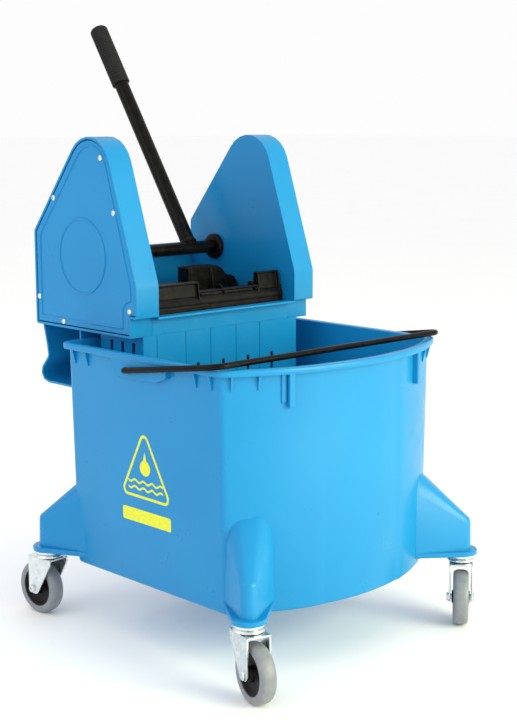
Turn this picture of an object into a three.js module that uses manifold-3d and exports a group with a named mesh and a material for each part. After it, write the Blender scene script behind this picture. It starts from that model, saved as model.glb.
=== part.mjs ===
// Mop bucket on four swivel casters, with a lift-off down-press wringer.
// Millimetres, +Z up. X runs across the bucket, the rounded front faces -Y.
import * as THREE from 'three';
import { mergeVertices } from 'three/addons/utils/BufferGeometryUtils.js';
import { ConvexGeometry } from 'three/addons/geometries/ConvexGeometry.js';
import Module from 'manifold-3d';

const wasm = await Module();
wasm.setup();

// ---- driving dimensions ---------------------------------------------------

const GAP = 0.35; // clearance between pieces that touch
const WALL = 3.4; // moulded wall thickness

const BUCKET = {
  floorZ: 85,
  rimZ: 396.5,
  rearY: 141,
  topHalf: 194.5,
  bottomHalf: 187,
  topFrontY: -236,
  bottomFrontY: -239,
  topFrontRadius: 330,
  bottomFrontRadius: 300,
  rimReach: 8.5,
  rimDrop: 8,
};

const LEG = {
  x: 203,
  frontY: -232.8,
  rearY: 182.3,
  postRadius: 12,
  postTopZ: 148,
  rootX: 158,
  frontRootY: -184,
  rearRootY: 126,
  rootHalf: 33,
  rootTopZ: 218,
  flangeRadius: 22,
  flangeZ: 96,
  flangeThick: 7,
  stemRadius: 5.5,
};

const CASTER = {
  wheelRadius: 38,
  hubRadius: 27,
  treadWidth: 21,
  trail: 18,
  raceRadius: 20,
  crownZ: 83.5,
  legGap: 28,
  sheet: 2.6,
  axleRadius: 4,
};

// Where each caster stands, and the way its wheel trails (degrees from +X).
const CASTER_PLACES = [
  { name: 'front_left', x: -LEG.x, y: LEG.frontY, heading: 254.7 },
  { name: 'front_right', x: LEG.x, y: LEG.frontY, heading: 219.7 },
  { name: 'rear_left', x: -LEG.x, y: LEG.rearY, heading: 94.7 },
  { name: 'rear_right', x: LEG.x, y: LEG.rearY, heading: 78 },
];

const TOWER = {
  inner: 126.7,
  outer: 164.8,
  bottomZ: 408,
  ledgeZ: 434.8,
  frontY: 22.3,
  wallY: 36,
  rearY: 252.4,
};

const BASKET = { half: 143.5, floorZ: 255, rearY: 134.5 };

const SHAFT = { y: 194, z: 504, radius: 9.5, end: 153 };
const LEVER = { x: 76.5, lean: 33.4, radius: 11, length: 395, gripLength: 101, gripRadius: 14 };
const FRONT_AXLE = { y: 56, z: 444 };
const AXLE = { radius: 6, end: 150 };
const PLATE_HALF = 123;
const PLATE_RIBS = [-96, -48, 0, 48, 96];

const GEAR = { module: 2, pinion: 13, rear: 58, front: 38, inX: 138, outX: 146 };

const BAIL = { rod: 4, x: 209.5, pivotY: -2, pivotZ: 376, reach: 184, rise: 8.4, bend: 20 };

const COVER_X = 160.8;
const COVER_THICK = 3;
const SCREW_SPOTS = [
  [95, 644.8],
  [204, 588.2],
  [69, 573],
  [243.5, 447.6],
  [38.1, 444],
  [186.6, 417],
];

const COLOUR = {
  blue: 0x2f9be0,
  black: 0x191919,
  rubber: 0x8f929c,
  zinc: 0xc9cdd2,
  grip: 0x2b2b2e,
};

// ---- helpers --------------------------------------------------------------

const radians = THREE.MathUtils.degToRad;

function solid(geometry) {
  const plain = geometry.clone();
  plain.deleteAttribute('normal');
  plain.deleteAttribute('uv');
  const merged = mergeVertices(plain, 1e-4);
  const vertProperties = Float32Array.from(merged.attributes.position.array);
  const triVerts = Uint32Array.from(merged.index.array);
  return new wasm.Manifold(new wasm.Mesh({ numProp: 3, vertProperties, triVerts }));
}

function asGeometry(body) {
  const mesh = body.getMesh();
  const geometry = new THREE.BufferGeometry();
  geometry.setAttribute('position', new THREE.BufferAttribute(mesh.vertProperties, 3));
  geometry.setIndex(new THREE.BufferAttribute(mesh.triVerts, 1));
  return geometry;
}

function box(x0, x1, y0, y1, z0, z1) {
  const geometry = new THREE.BoxGeometry(x1 - x0, y1 - y0, z1 - z0);
  return geometry.translate((x0 + x1) / 2, (y0 + y1) / 2, (z0 + z1) / 2);
}

// A prism whose outline lies in the Y-Z plane, from x0 to x1.
function prismX(points, x0, x1) {
  const shape = points instanceof THREE.Shape ? points : new THREE.Shape(points);
  const geometry = new THREE.ExtrudeGeometry(shape, { depth: x1 - x0, bevelEnabled: false, curveSegments: 6 });
  const turn = new THREE.Matrix4().makeBasis(
    new THREE.Vector3(0, 1, 0),
    new THREE.Vector3(0, 0, 1),
    new THREE.Vector3(1, 0, 0),
  );
  return geometry.applyMatrix4(turn).translate(x0, 0, 0);
}

function cylinderX(y, z, radius, x0, x1, sides = 20) {
  const geometry = new THREE.CylinderGeometry(radius, radius, x1 - x0, sides);
  return geometry.rotateZ(-Math.PI / 2).translate((x0 + x1) / 2, y, z);
}

function cylinderZ(x, y, radius, z0, z1, sides = 20) {
  const geometry = new THREE.CylinderGeometry(radius, radius, z1 - z0, sides);
  return geometry.rotateX(Math.PI / 2).translate(x, y, (z0 + z1) / 2);
}

// A lathed body: profile points are [radius, height] along +Z.
function latheZ(profile, sides = 24) {
  const points = profile.map(([radius, height]) => new THREE.Vector2(radius, height));
  return new THREE.LatheGeometry(points, sides).rotateX(Math.PI / 2);
}

function point(x, y) {
  return new THREE.Vector2(x, y);
}

// Moves every edge of a counter-clockwise polygon inwards by the inset.
function insetPolygon(corners, inset) {
  const count = corners.length;
  return corners.map((corner, i) => {
    const before = corner.clone().sub(corners[(i + count - 1) % count]).normalize();
    const after = corners[(i + 1) % count].clone().sub(corner).normalize();
    const turn = before.x * after.y - before.y * after.x;
    const slide = after.clone().sub(before).multiplyScalar(inset / turn);
    return corner.clone().add(slide);
  });
}

// A shape with each corner of the polygon rounded by its own radius.
function roundedShape(corners, radii, steps = 5) {
  const outline = [];
  corners.forEach((corner, i) => {
    const radius = Math.max(radii[i], 0);
    const toBefore = corners[(i + corners.length - 1) % corners.length].clone().sub(corner).normalize();
    const toAfter = corners[(i + 1) % corners.length].clone().sub(corner).normalize();
    if (radius === 0) {
      outline.push(corner);
      return;
    }
    const half = Math.acos(toBefore.dot(toAfter)) / 2;
    const middle = toBefore.clone().add(toAfter).normalize();
    const centre = corner.clone().addScaledVector(middle, radius / Math.sin(half));
    const start = corner.clone().addScaledVector(toBefore, radius / Math.tan(half)).sub(centre);
    const end = corner.clone().addScaledVector(toAfter, radius / Math.tan(half)).sub(centre);
    const sweep = Math.atan2(start.x * end.y - start.y * end.x, start.dot(end));
    for (let k = 0; k <= steps; k += 1) {
      outline.push(start.clone().rotateAround(point(0, 0), (sweep * k) / steps).add(centre));
    }
  });
  return new THREE.Shape(outline);
}

const parts = new THREE.Group();

function addPart(parent, name, geometry, colour, roughness = 0.5, metalness = 0) {
  const material = new THREE.MeshStandardMaterial({ color: colour, roughness, metalness });
  const mesh = new THREE.Mesh(geometry, material);
  mesh.name = name;
  parent.add(mesh);
  return mesh;
}

function addMoulding(name, geometry) {
  return addPart(parts, name, geometry, COLOUR.blue, 0.35);
}

function addBlack(name, geometry) {
  return addPart(parts, name, geometry, COLOUR.black, 0.4);
}

// ---- bucket ---------------------------------------------------------------

// Half-widths and front of the bucket's plan at a height, let out by `grow`.
function bucketPlan(z, grow) {
  const rise = (z - BUCKET.floorZ) / (BUCKET.rimZ - BUCKET.floorZ);
  const half = THREE.MathUtils.lerp(BUCKET.bottomHalf, BUCKET.topHalf, rise) + grow;
  const apex = THREE.MathUtils.lerp(BUCKET.bottomFrontY, BUCKET.topFrontY, rise) - grow;
  const radius = THREE.MathUtils.lerp(BUCKET.bottomFrontRadius, BUCKET.topFrontRadius, rise) + grow;
  const centreY = apex + radius;
  const spread = Math.asin((half - 8) / radius);
  const outline = [];
  const steps = 16;
  for (let k = 0; k <= steps; k += 1) {
    const angle = -Math.PI / 2 + spread * ((2 * k) / steps - 1);
    outline.push(point(radius * Math.cos(angle), centreY + radius * Math.sin(angle)));
  }
  const cornerY = outline[0].y;
  const rear = BUCKET.rearY + grow;
  const cut = 8;
  outline.push(point(half, cornerY + cut), point(half, rear - cut), point(half - cut, rear));
  outline.push(point(cut - half, rear), point(-half, rear - cut), point(-half, cornerY + cut));
  return outline;
}

function bucketLoft(z0, z1, grow) {
  const points = [];
  for (const z of [z0, z1]) {
    for (const { x, y } of bucketPlan(z, grow)) {
      points.push(new THREE.Vector3(x, y, z));
    }
  }
  return new ConvexGeometry(points);
}

// Where a leg stands: its post, and the two sides of its root on the bucket's corner.
function legPlan(sideX, sideY, rootHalf) {
  const post = point(sideX * LEG.x, sideY < 0 ? LEG.frontY : LEG.rearY);
  const root = point(sideX * LEG.rootX, sideY < 0 ? LEG.frontRootY : LEG.rearRootY);
  const along = post.clone().sub(root).normalize();
  const across = point(-along.y, along.x);
  const roots = [-rootHalf, rootHalf].map((offset) => root.clone().addScaledVector(across, offset));
  return { post, roots };
}

function upright(points, { x, y }, z0, z1) {
  points.push(new THREE.Vector3(x, y, z0), new THREE.Vector3(x, y, z1));
}

function ringOf(centre, radius, count) {
  return Array.from({ length: count }, (_, k) => {
    const angle = (2 * Math.PI * k) / count;
    return point(centre.x + radius * Math.cos(angle), centre.y + radius * Math.sin(angle));
  });
}

// The tapered leg that carries a caster, from the bucket's corner to its post.
function legHull(sideX, sideY) {
  const { post, roots } = legPlan(sideX, sideY, LEG.rootHalf);
  const points = [];
  ringOf(post, LEG.postRadius, 10).forEach((place) => upright(points, place, LEG.flangeZ, LEG.postTopZ));
  roots.forEach((place) => upright(points, place, LEG.flangeZ, LEG.rootTopZ));
  return new ConvexGeometry(points);
}

// The flat foot of a leg, round over the caster and straight back to the root.
function legFlange(sideX, sideY) {
  const { post, roots } = legPlan(sideX, sideY, LEG.rootHalf);
  const top = LEG.flangeZ + LEG.flangeThick;
  const points = [];
  ringOf(post, LEG.flangeRadius, 20).forEach((place) => upright(points, place, LEG.flangeZ, top));
  roots.forEach((place) => upright(points, place, LEG.flangeZ, top));
  return new ConvexGeometry(points);
}

// Triangular gusset under the rim on a side wall.
function sideGusset(side, y) {
  const wall = side * (BUCKET.topHalf - 1.5);
  const tip = side * (BUCKET.topHalf + BUCKET.rimReach - 1.5);
  const top = BUCKET.rimZ - 2;
  const points = [];
  for (const along of [y - 1.6, y + 1.6]) {
    points.push(new THREE.Vector3(wall, along, top), new THREE.Vector3(tip, along, top));
    points.push(new THREE.Vector3(wall, along, top - 26));
  }
  return new ConvexGeometry(points);
}

// Upright post under the rim of the curved front wall.
function frontPost(side) {
  const radius = BUCKET.topFrontRadius;
  const centreY = BUCKET.topFrontY + radius;
  const angle = side * Math.asin(115 / radius);
  const post = box(-5, 5, -radius - 8, -radius + 1.5, 350, BUCKET.rimZ - 2);
  return post.rotateZ(angle).translate(0, centreY, 0);
}

function bailBracket(side) {
  const inner = side * (BUCKET.topHalf - 2);
  const outer = side * (BUCKET.topHalf + BUCKET.rimReach);
  const [x0, x1] = [Math.min(inner, outer), Math.max(inner, outer)];
  return prismX(
    [point(28, 366), point(28, 395), point(-80, 395), point(-80, 374), point(-58, 366)].reverse(),
    x0,
    x1,
  );
}

function makeBucket() {
  let body = solid(bucketLoft(BUCKET.floorZ, BUCKET.rimZ, 0));
  const rimBottom = BUCKET.rimZ - BUCKET.rimDrop;
  const rim = solid(bucketLoft(rimBottom, BUCKET.rimZ, BUCKET.rimReach));
  const underRim = solid(bucketLoft(rimBottom - 1, BUCKET.rimZ - WALL, BUCKET.rimReach - WALL));
  body = body.add(rim.subtract(underRim));
  for (const side of [-1, 1]) {
    for (const end of [-1, 1]) {
      body = body.add(solid(legHull(side, end)));
      body = body.add(solid(legFlange(side, end)));
    }
    for (const y of [-128, -108, 92, 120]) {
      body = body.add(solid(sideGusset(side, y)));
    }
    body = body.add(solid(bailBracket(side)));
    body = body.add(solid(frontPost(side)));
  }
  const inside = solid(bucketLoft(BUCKET.floorZ + WALL, BUCKET.rimZ + 1, -WALL));
  body = body.subtract(inside);
  const bore = LEG.stemRadius + GAP;
  for (const side of [-1, 1]) {
    for (const y of [LEG.frontY, LEG.rearY]) {
      body = body.subtract(solid(cylinderZ(side * LEG.x, y, bore, LEG.flangeZ - 1, 141)));
    }
    const pivot = [BAIL.pivotY, BAIL.pivotZ, BAIL.rod + GAP];
    const span = [side * (BUCKET.topHalf - 10), side * (BUCKET.topHalf + 20)];
    body = body.subtract(solid(cylinderX(...pivot, Math.min(...span), Math.max(...span), 12)));
  }
  return asGeometry(body);
}

addMoulding('bucket_body', makeBucket());

// ---- bail -----------------------------------------------------------------

// A round rod swept through a list of points, one ring of the sweep on each.
class RodPath extends THREE.Curve {
  constructor(points) {
    super();
    this.points = points;
  }

  getPoint(t) {
    const last = this.points.length - 1;
    const place = Math.min(Math.max(t, 0), 1) * last;
    const index = Math.min(Math.floor(place), last - 1);
    return this.points[index].clone().lerp(this.points[index + 1], place - index);
  }

  getPointAt(u) {
    return this.getPoint(u);
  }

  getTangentAt(u) {
    const last = this.points.length - 1;
    const index = Math.round(u * last);
    const before = this.points[Math.max(index - 1, 0)];
    const after = this.points[Math.min(index + 1, last)];
    return after.clone().sub(before).normalize();
  }
}

function sweepRod(points, radius, sides) {
  const ring = [];
  for (let k = 0; k < sides; k += 1) {
    const angle = (2 * Math.PI * k) / sides;
    ring.push(point(radius * Math.cos(angle), radius * Math.sin(angle)));
  }
  return new THREE.ExtrudeGeometry(new THREE.Shape(ring), {
    steps: points.length - 1,
    extrudePath: new RodPath(points),
    bevelEnabled: false,
  });
}

// Half of the bail, laid flat: [across, along] from the hook to the front bar.
function bailHalf() {
  const flat = [point(BUCKET.topHalf + 1, 0), point(BAIL.x - 6, 0)];
  for (const angle of [30, 60, 90]) {
    const a = radians(angle);
    flat.push(point(BAIL.x - 6 + 6 * Math.sin(a), 6 - 6 * Math.cos(a)));
  }
  for (let k = 0; k <= 6; k += 1) {
    const a = (k * Math.PI) / 12;
    const turnX = BAIL.x - BAIL.bend + BAIL.bend * Math.cos(a);
    flat.push(point(turnX, BAIL.reach - BAIL.bend + BAIL.bend * Math.sin(a)));
  }
  return flat;
}

function makeBail() {
  const rise = radians(BAIL.rise);
  const place = ({ x, y }, side) => new THREE.Vector3(
    side * x,
    BAIL.pivotY - y * Math.cos(rise),
    BAIL.pivotZ + y * Math.sin(rise),
  );
  const half = bailHalf();
  const left = half.map((p) => place(p, -1));
  const right = half.map((p) => place(p, 1)).reverse();
  return sweepRod([...left, ...right], BAIL.rod, 10);
}

addPart(parts, 'bail_handle', makeBail(), COLOUR.black, 0.35, 0.3);

// ---- wringer housing ------------------------------------------------------

const TOWER_CORNERS = [
  point(TOWER.wallY, TOWER.bottomZ),
  point(TOWER.rearY, TOWER.bottomZ),
  point(TOWER.rearY, 541.2),
  point(103.5, 722),
  point(TOWER.frontY, 478.5),
  point(TOWER.frontY, TOWER.ledgeZ),
  point(TOWER.wallY, TOWER.ledgeZ),
];
const TOWER_RADII = [0, 4, 10, 48, 26, 2, 0];

function towerShape(inset) {
  const radii = TOWER_RADII.map((radius) => (radius > inset ? radius - inset : 0));
  return roundedShape(insetPolygon(TOWER_CORNERS, inset), radii);
}

function mirroredSpan(side, near, far) {
  return side > 0 ? [near, far] : [-far, -near];
}

function towerShell(side) {
  const shell = solid(prismX(towerShape(0), ...mirroredSpan(side, TOWER.inner, TOWER.outer)));
  const inner = TOWER.inner + WALL;
  const room = solid(prismX(towerShape(WALL), ...mirroredSpan(side, inner, TOWER.outer + 1)));
  let body = shell.subtract(room);
  for (const [y, z] of SCREW_SPOTS) {
    const boss = cylinderX(y, z, 5.5, ...mirroredSpan(side, TOWER.inner + 1, COVER_X - GAP), 10);
    body = body.add(solid(boss));
  }
  return body;
}

// The rear skirt's wall as a closed strip: out along one face, back along the other.
function skirtShape() {
  const outer = [
    point(TOWER.rearY, 412),
    point(243, 376),
    point(240.5, 361),
    point(256, 344),
    point(258.5, 334),
    point(253, 325),
    point(241, 321.5),
    point(160, 321.5),
    point(160, 412),
  ];
  const shape = new THREE.Shape(outer);
  const inset = [
    point(248.2, 408.5),
    point(239.5, 376),
    point(236.8, 360),
    point(252.5, 342.5),
    point(254.8, 334),
    point(251, 327.8),
    point(240.5, 325),
    point(163.5, 325),
    point(163.5, 408.5),
  ];
  shape.holes.push(new THREE.Path(inset.reverse()));
  return shape;
}

function basketSlots() {
  const cuts = [];
  const { half, floorZ, rearY } = BASKET;
  for (const x of [-94, -47, 0, 47, 94]) {
    cuts.push(box(x - 2.5, x + 2.5, TOWER.wallY - 1, TOWER.wallY + WALL + 1, floorZ + 25, 363));
    cuts.push(box(x - 2.5, x + 2.5, rearY - WALL - 1, rearY + 1, floorZ + 25, 315));
    for (const y of [58, 86, 114]) {
      cuts.push(box(x - 9, x + 9, y - 4, y + 4, floorZ - 1, floorZ + WALL + 1));
    }
  }
  for (const side of [-1, 1]) {
    for (const y of [57, 81, 105]) {
      const span = mirroredSpan(side, half - WALL - 1, half + 1);
      cuts.push(box(...span, y - 3, y + 3, floorZ + 25, 398));
    }
  }
  return cuts;
}

function makeHousing() {
  const { inner, outer, wallY, frontY, ledgeZ, rearY, bottomZ } = TOWER;
  const { half, floorZ } = BASKET;
  let body = towerShell(-1).add(towerShell(1));
  const slabs = [
    box(-half, half, wallY, wallY + WALL, floorZ, ledgeZ),
    box(-inner - 1, inner + 1, frontY, wallY + WALL, ledgeZ - WALL, ledgeZ),
    box(-half, half, BASKET.rearY - WALL, BASKET.rearY, floorZ, bottomZ + 1),
    box(-half, half, wallY, BASKET.rearY, floorZ, floorZ + WALL),
    box(-half, -half + WALL, wallY, BASKET.rearY, floorZ, bottomZ + 1),
    box(half - WALL, half, wallY, BASKET.rearY, floorZ, bottomZ + 1),
    box(-inner - 1, inner + 1, rearY - WALL, rearY, bottomZ, 508),
  ];
  for (const slab of slabs) {
    body = body.add(solid(slab));
  }
  const frontEdge = BASKET.rearY - WALL;
  const deck = [
    point(frontEdge, bottomZ - 1),
    point(rearY, bottomZ),
    point(rearY, bottomZ + 22),
    point(frontEdge, bottomZ + WALL),
  ];
  body = body.add(solid(prismX(deck, -inner - 1, inner + 1)));
  body = body.add(solid(prismX(skirtShape(), -155, 155)));
  for (const x of [-118, -60, 60, 118]) {
    const foot = box(x - 2, x + 2, 135, 161, BUCKET.rimZ + GAP, bottomZ + 1);
    body = body.add(solid(foot));
  }
  for (const cut of basketSlots()) {
    body = body.subtract(solid(cut));
  }
  body = body.subtract(solid(cylinderX(SHAFT.y, SHAFT.z, 12, -outer + 30, outer - 30)));
  for (const { y, z } of [FRONT_AXLE, REAR_AXLE]) {
    body = body.subtract(solid(cylinderX(y, z, AXLE.radius + GAP, -outer + 30, outer - 30)));
  }
  for (const side of [-1, 1]) {
    for (const [y, z] of SCREW_SPOTS) {
      const bore = cylinderX(y, z, 2, ...mirroredSpan(side, 146, TOWER.outer), 8);
      body = body.subtract(solid(bore));
    }
  }
  return asGeometry(body);
}

// ---- gear train -----------------------------------------------------------

const PITCH_SHAFT_TO_REAR = (GEAR.module * (GEAR.pinion + GEAR.rear)) / 2;
const PITCH_REAR_TO_FRONT = (GEAR.module * (GEAR.rear + GEAR.front)) / 2;

// The rear axle stands where both pairs of gears are at their pitch distance.
function placeRearAxle() {
  const front = point(FRONT_AXLE.y, FRONT_AXLE.z);
  const line = point(SHAFT.y, SHAFT.z).sub(front);
  const span = line.length();
  line.normalize();
  const along = (PITCH_REAR_TO_FRONT ** 2 - PITCH_SHAFT_TO_REAR ** 2 + span ** 2) / (2 * span);
  const below = Math.sqrt(PITCH_REAR_TO_FRONT ** 2 - along ** 2);
  return {
    y: front.x + line.x * along + line.y * below,
    z: front.y + line.y * along - line.x * below,
  };
}

const REAR_AXLE = placeRearAxle();

function direction(from, to) {
  return Math.atan2(to.z - from.z, to.y - from.y);
}

// Toothed arc of straight-sided teeth; tooth `first` is centred on `zero`.
function toothedArc(teeth, first, last, zero) {
  const pitchRadius = (GEAR.module * teeth) / 2;
  const root = pitchRadius - 1.2 * GEAR.module;
  const tip = pitchRadius + 0.85 * GEAR.module;
  const pitch = (2 * Math.PI) / teeth;
  const outline = [];
  for (let k = first; k <= last; k += 1) {
    const middle = zero + k * pitch;
    for (const [radius, offset] of [[root, -0.3], [tip, -0.12], [tip, 0.12], [root, 0.3]]) {
      const angle = middle + offset * pitch;
      outline.push(point(radius * Math.cos(angle), radius * Math.sin(angle)));
    }
  }
  return outline;
}

function sector(teeth, first, last, zero) {
  return new THREE.Shape([point(0, 0), ...toothedArc(teeth, first, last, zero)]);
}

function gearBody(shapes, centre, hub, bore, side) {
  const [x0, x1] = mirroredSpan(side, GEAR.inX, GEAR.outX);
  const hubSpan = mirroredSpan(side, GEAR.inX - 4, GEAR.outX + 2);
  let body = solid(cylinderX(0, 0, hub, ...hubSpan, 24));
  for (const shape of shapes) {
    body = body.add(solid(prismX(shape, x0, x1)));
  }
  body = body.subtract(solid(cylinderX(0, 0, bore, -TOWER.outer, TOWER.outer, 20)));
  return asGeometry(body).translate(0, centre.y, centre.z);
}

function addGears(side, label) {
  const toRear = direction(SHAFT, REAR_AXLE);
  const pinion = new THREE.Shape(toothedArc(GEAR.pinion, 0, GEAR.pinion - 1, toRear));
  const shaftBore = SHAFT.radius + GAP / 2;
  const steel = [COLOUR.zinc, 0.4, 0.9];
  addPart(parts, `drive_pinion_${label}`, gearBody([pinion], SHAFT, 10.6, shaftBore, side), ...steel);
  const half = Math.PI / GEAR.rear;
  const rearShapes = [
    sector(GEAR.rear, -1, 4, direction(REAR_AXLE, SHAFT) - half),
    sector(GEAR.rear, -1, 4, direction(REAR_AXLE, FRONT_AXLE)),
  ];
  const bore = AXLE.radius + GAP / 2;
  const rear = gearBody(rearShapes, REAR_AXLE, 11, bore, side);
  addPart(parts, `rear_sector_gear_${label}`, rear, ...steel);
  const frontShape = sector(GEAR.front, -4, 1, direction(FRONT_AXLE, REAR_AXLE) + Math.PI / GEAR.front);
  const front = gearBody([frontShape], FRONT_AXLE, 10, bore, side);
  addPart(parts, `front_sector_gear_${label}`, front, ...steel);
}

addMoulding('wringer_housing', makeHousing());

// ---- covers and their screws ----------------------------------------------

function makeCover(side) {
  const span = mirroredSpan(side, COVER_X, COVER_X + COVER_THICK);
  let body = solid(prismX(towerShape(WALL + GAP), ...span));
  for (const [y, z] of SCREW_SPOTS) {
    body = body.subtract(solid(cylinderX(y, z, 2, ...mirroredSpan(side, COVER_X - 1, COVER_X + 9), 8)));
  }
  return asGeometry(body);
}

function makeScrew(side) {
  const seat = COVER_X + COVER_THICK + GAP;
  const profile = [[0, 147], [1.6, 147], [1.6, seat], [4.2, seat], [3, seat + 2.4], [0, seat + 2.4]];
  const geometry = latheZ(profile, 8);
  return geometry.rotateY(side * (Math.PI / 2));
}

for (const [side, label] of [[-1, 'left'], [1, 'right']]) {
  addMoulding(`tower_cover_${label}`, makeCover(side));
  SCREW_SPOTS.forEach(([y, z], index) => {
    const name = `cover_screw_${label}_${index + 1}`;
    const screw = addPart(parts, name, makeScrew(side), COLOUR.zinc, 0.3, 0.9);
    screw.position.set(0, y, z);
  });
  addGears(side, label);
}

// ---- lever and cross shaft ------------------------------------------------

function leverPiece(geometry) {
  return geometry.rotateX(-radians(LEVER.lean)).translate(LEVER.x, SHAFT.y, SHAFT.z);
}

function makeLeverTube() {
  const tube = leverPiece(cylinderZ(0, 0, LEVER.radius, 0, LEVER.length, 24));
  const bore = leverPiece(cylinderZ(0, 0, LEVER.radius - 2, -1, LEVER.length - 3, 24));
  const clear = cylinderX(SHAFT.y, SHAFT.z, SHAFT.radius + GAP, LEVER.x - 20, LEVER.x + 20, 24);
  const below = leverPiece(box(-20, 20, -20, 20, -30, 0));
  return asGeometry(solid(tube).subtract(solid(bore)).subtract(solid(clear)).subtract(solid(below)));
}

function makeGrip() {
  const { length, gripLength, gripRadius, radius } = LEVER;
  const start = length - gripLength;
  const inner = radius + GAP;
  const profile = [
    [inner, start],
    [gripRadius, start],
    [gripRadius, length - 2],
    [gripRadius - 3, length + 3],
    [gripRadius - 9, length + 5],
    [0, length + 5.5],
    [0, length + GAP],
    [inner, length + GAP],
    [inner, start],
  ];
  return leverPiece(latheZ(profile, 24));
}

addBlack('lever_tube', makeLeverTube());
addPart(parts, 'lever_grip', makeGrip(), COLOUR.grip, 0.85);
addBlack('cross_shaft', cylinderX(SHAFT.y, SHAFT.z, SHAFT.radius, -SHAFT.end, SHAFT.end, 24));

function makeBush(side) {
  const inner = SHAFT.radius + GAP;
  const profile = [
    [inner, 118],
    [17, 118],
    [19, 122],
    [19, TOWER.inner - GAP],
    [12 - GAP, TOWER.inner - GAP],
    [12 - GAP, TOWER.inner + WALL],
    [inner, TOWER.inner + WALL],
    [inner, 118],
  ];
  return latheZ(profile, 24).rotateY(side * (Math.PI / 2)).translate(0, SHAFT.y, SHAFT.z);
}

addBlack('shaft_bush_left', makeBush(-1));
addBlack('shaft_bush_right', makeBush(1));

// ---- press plates ---------------------------------------------------------

function addAxle(name, { y, z }) {
  addPart(parts, name, cylinderX(y, z, AXLE.radius, -AXLE.end, AXLE.end, 20), COLOUR.zinc, 0.35, 0.9);
}

// A plate: the tube round its axle, the blade below it, and the lugs and ribs on it.
function plateBody(axle, bladeOutline, lugs, ribOutline) {
  let body = solid(cylinderX(axle.y, axle.z, 11, -PLATE_HALF, PLATE_HALF, 20));
  body = body.add(solid(prismX(bladeOutline, -PLATE_HALF, PLATE_HALF)));
  for (const { outline, x0, x1 } of lugs) {
    body = body.add(solid(prismX(outline, x0, x1)));
  }
  for (const x of PLATE_RIBS) {
    body = body.add(solid(prismX(ribOutline, x - 2.5, x + 2.5)));
  }
  const bore = cylinderX(axle.y, axle.z, AXLE.radius + GAP / 2, -TOWER.outer, TOWER.outer, 20);
  return body.subtract(solid(bore));
}

function makeFrontPlate() {
  const blade = [point(42, 356), point(49.5, 356), point(58, 436), point(46, 449)];
  const rib = [point(47, 360), point(53, 362), point(61.5, 434), point(56, 436)];
  const tall = [point(44, 446), point(64, 446), point(62, 473), point(47, 473)];
  const low = [point(45, 444), point(66, 444), point(60, 458), point(48, 458)];
  const leaning = [point(45, 446), point(62, 446), point(60, 482), point(48, 482)];
  const lugs = [
    { outline: tall, x0: -PLATE_HALF, x1: -34 },
    { outline: low, x0: -34, x1: 66 },
    { outline: leaning, x0: 66, x1: PLATE_HALF },
  ];
  return asGeometry(plateBody(FRONT_AXLE, blade, lugs, rib));
}

function makeRearPlate() {
  const blade = [
    point(118, 358),
    point(125, 358),
    point(128, 410),
    point(158, 441),
    point(150, 456),
    point(121, 414),
  ];
  const rib = [point(114, 362), point(120, 360), point(124, 412), point(117, 414)];
  const low = [point(142, 444), point(164, 444), point(160, 460), point(144, 460)];
  const block = [point(136, 446), point(166, 446), point(166, 482), point(138, 482)];
  const shoulder = [point(138, 446), point(165, 446), point(163, 466), point(140, 466)];
  const lugs = [
    { outline: low, x0: -PLATE_HALF, x1: 12 },
    { outline: block, x0: 12, x1: 80 },
    { outline: shoulder, x0: 80, x1: 98 },
    { outline: low, x0: 98, x1: PLATE_HALF },
  ];
  return asGeometry(plateBody(REAR_AXLE, blade, lugs, rib));
}

addAxle('front_plate_axle', FRONT_AXLE);
addAxle('rear_plate_axle', REAR_AXLE);
addBlack('front_press_plate', makeFrontPlate());
addBlack('rear_press_plate', makeRearPlate());

// ---- casters --------------------------------------------------------------

function makeStem() {
  const top = LEG.flangeZ - GAP;
  const profile = [
    [0, 76.8],
    [7, 76.8],
    [7, 81],
    [LEG.stemRadius, 81],
    [LEG.stemRadius, 92],
    [CASTER.raceRadius, 92],
    [CASTER.raceRadius, top],
    [LEG.stemRadius, top],
    [LEG.stemRadius, 139],
    [0, 139],
  ];
  return latheZ(profile, 14);
}

function makeRace() {
  const inner = LEG.stemRadius + GAP;
  const profile = [
    [inner, 86.5],
    [CASTER.raceRadius - 1, 86.5],
    [CASTER.raceRadius, 89],
    [CASTER.raceRadius - 2, 91.6],
    [inner, 91.6],
    [inner, 86.5],
  ];
  return latheZ(profile, 16);
}

// A fork of folded sheet: crown plate and two legs that taper to the axle.
function makeFork() {
  const { legGap, sheet, crownZ, trail, wheelRadius } = CASTER;
  const legOuter = legGap / 2 + sheet;
  const crown = box(-20, 25, -legOuter, legOuter, crownZ, crownZ + sheet);
  const bossZ = wheelRadius;
  const corners = [
    point(-20, crownZ + sheet),
    point(-20, crownZ - 6),
    point(trail - 9, bossZ - 8),
    point(trail + 7, bossZ - 8),
    point(25, crownZ - 6),
    point(25, crownZ + sheet),
  ];
  const outline = roundedShape(corners, [0, 0, 6, 6, 0, 0], 4);
  let body = solid(crown);
  for (const side of [-1, 1]) {
    const leg = new THREE.ExtrudeGeometry(outline, { depth: sheet, bevelEnabled: false });
    leg.rotateX(Math.PI / 2);
    leg.translate(0, side > 0 ? legOuter : -legGap / 2, 0);
    body = body.add(solid(leg));
  }
  body = body.subtract(solid(cylinderZ(0, 0, LEG.stemRadius + GAP, crownZ - 1, crownZ + 9, 20)));
  const axleBore = new THREE.CylinderGeometry(CASTER.axleRadius + GAP, CASTER.axleRadius + GAP, 60, 16);
  body = body.subtract(solid(axleBore.translate(trail, 0, wheelRadius)));
  return asGeometry(body);
}

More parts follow.
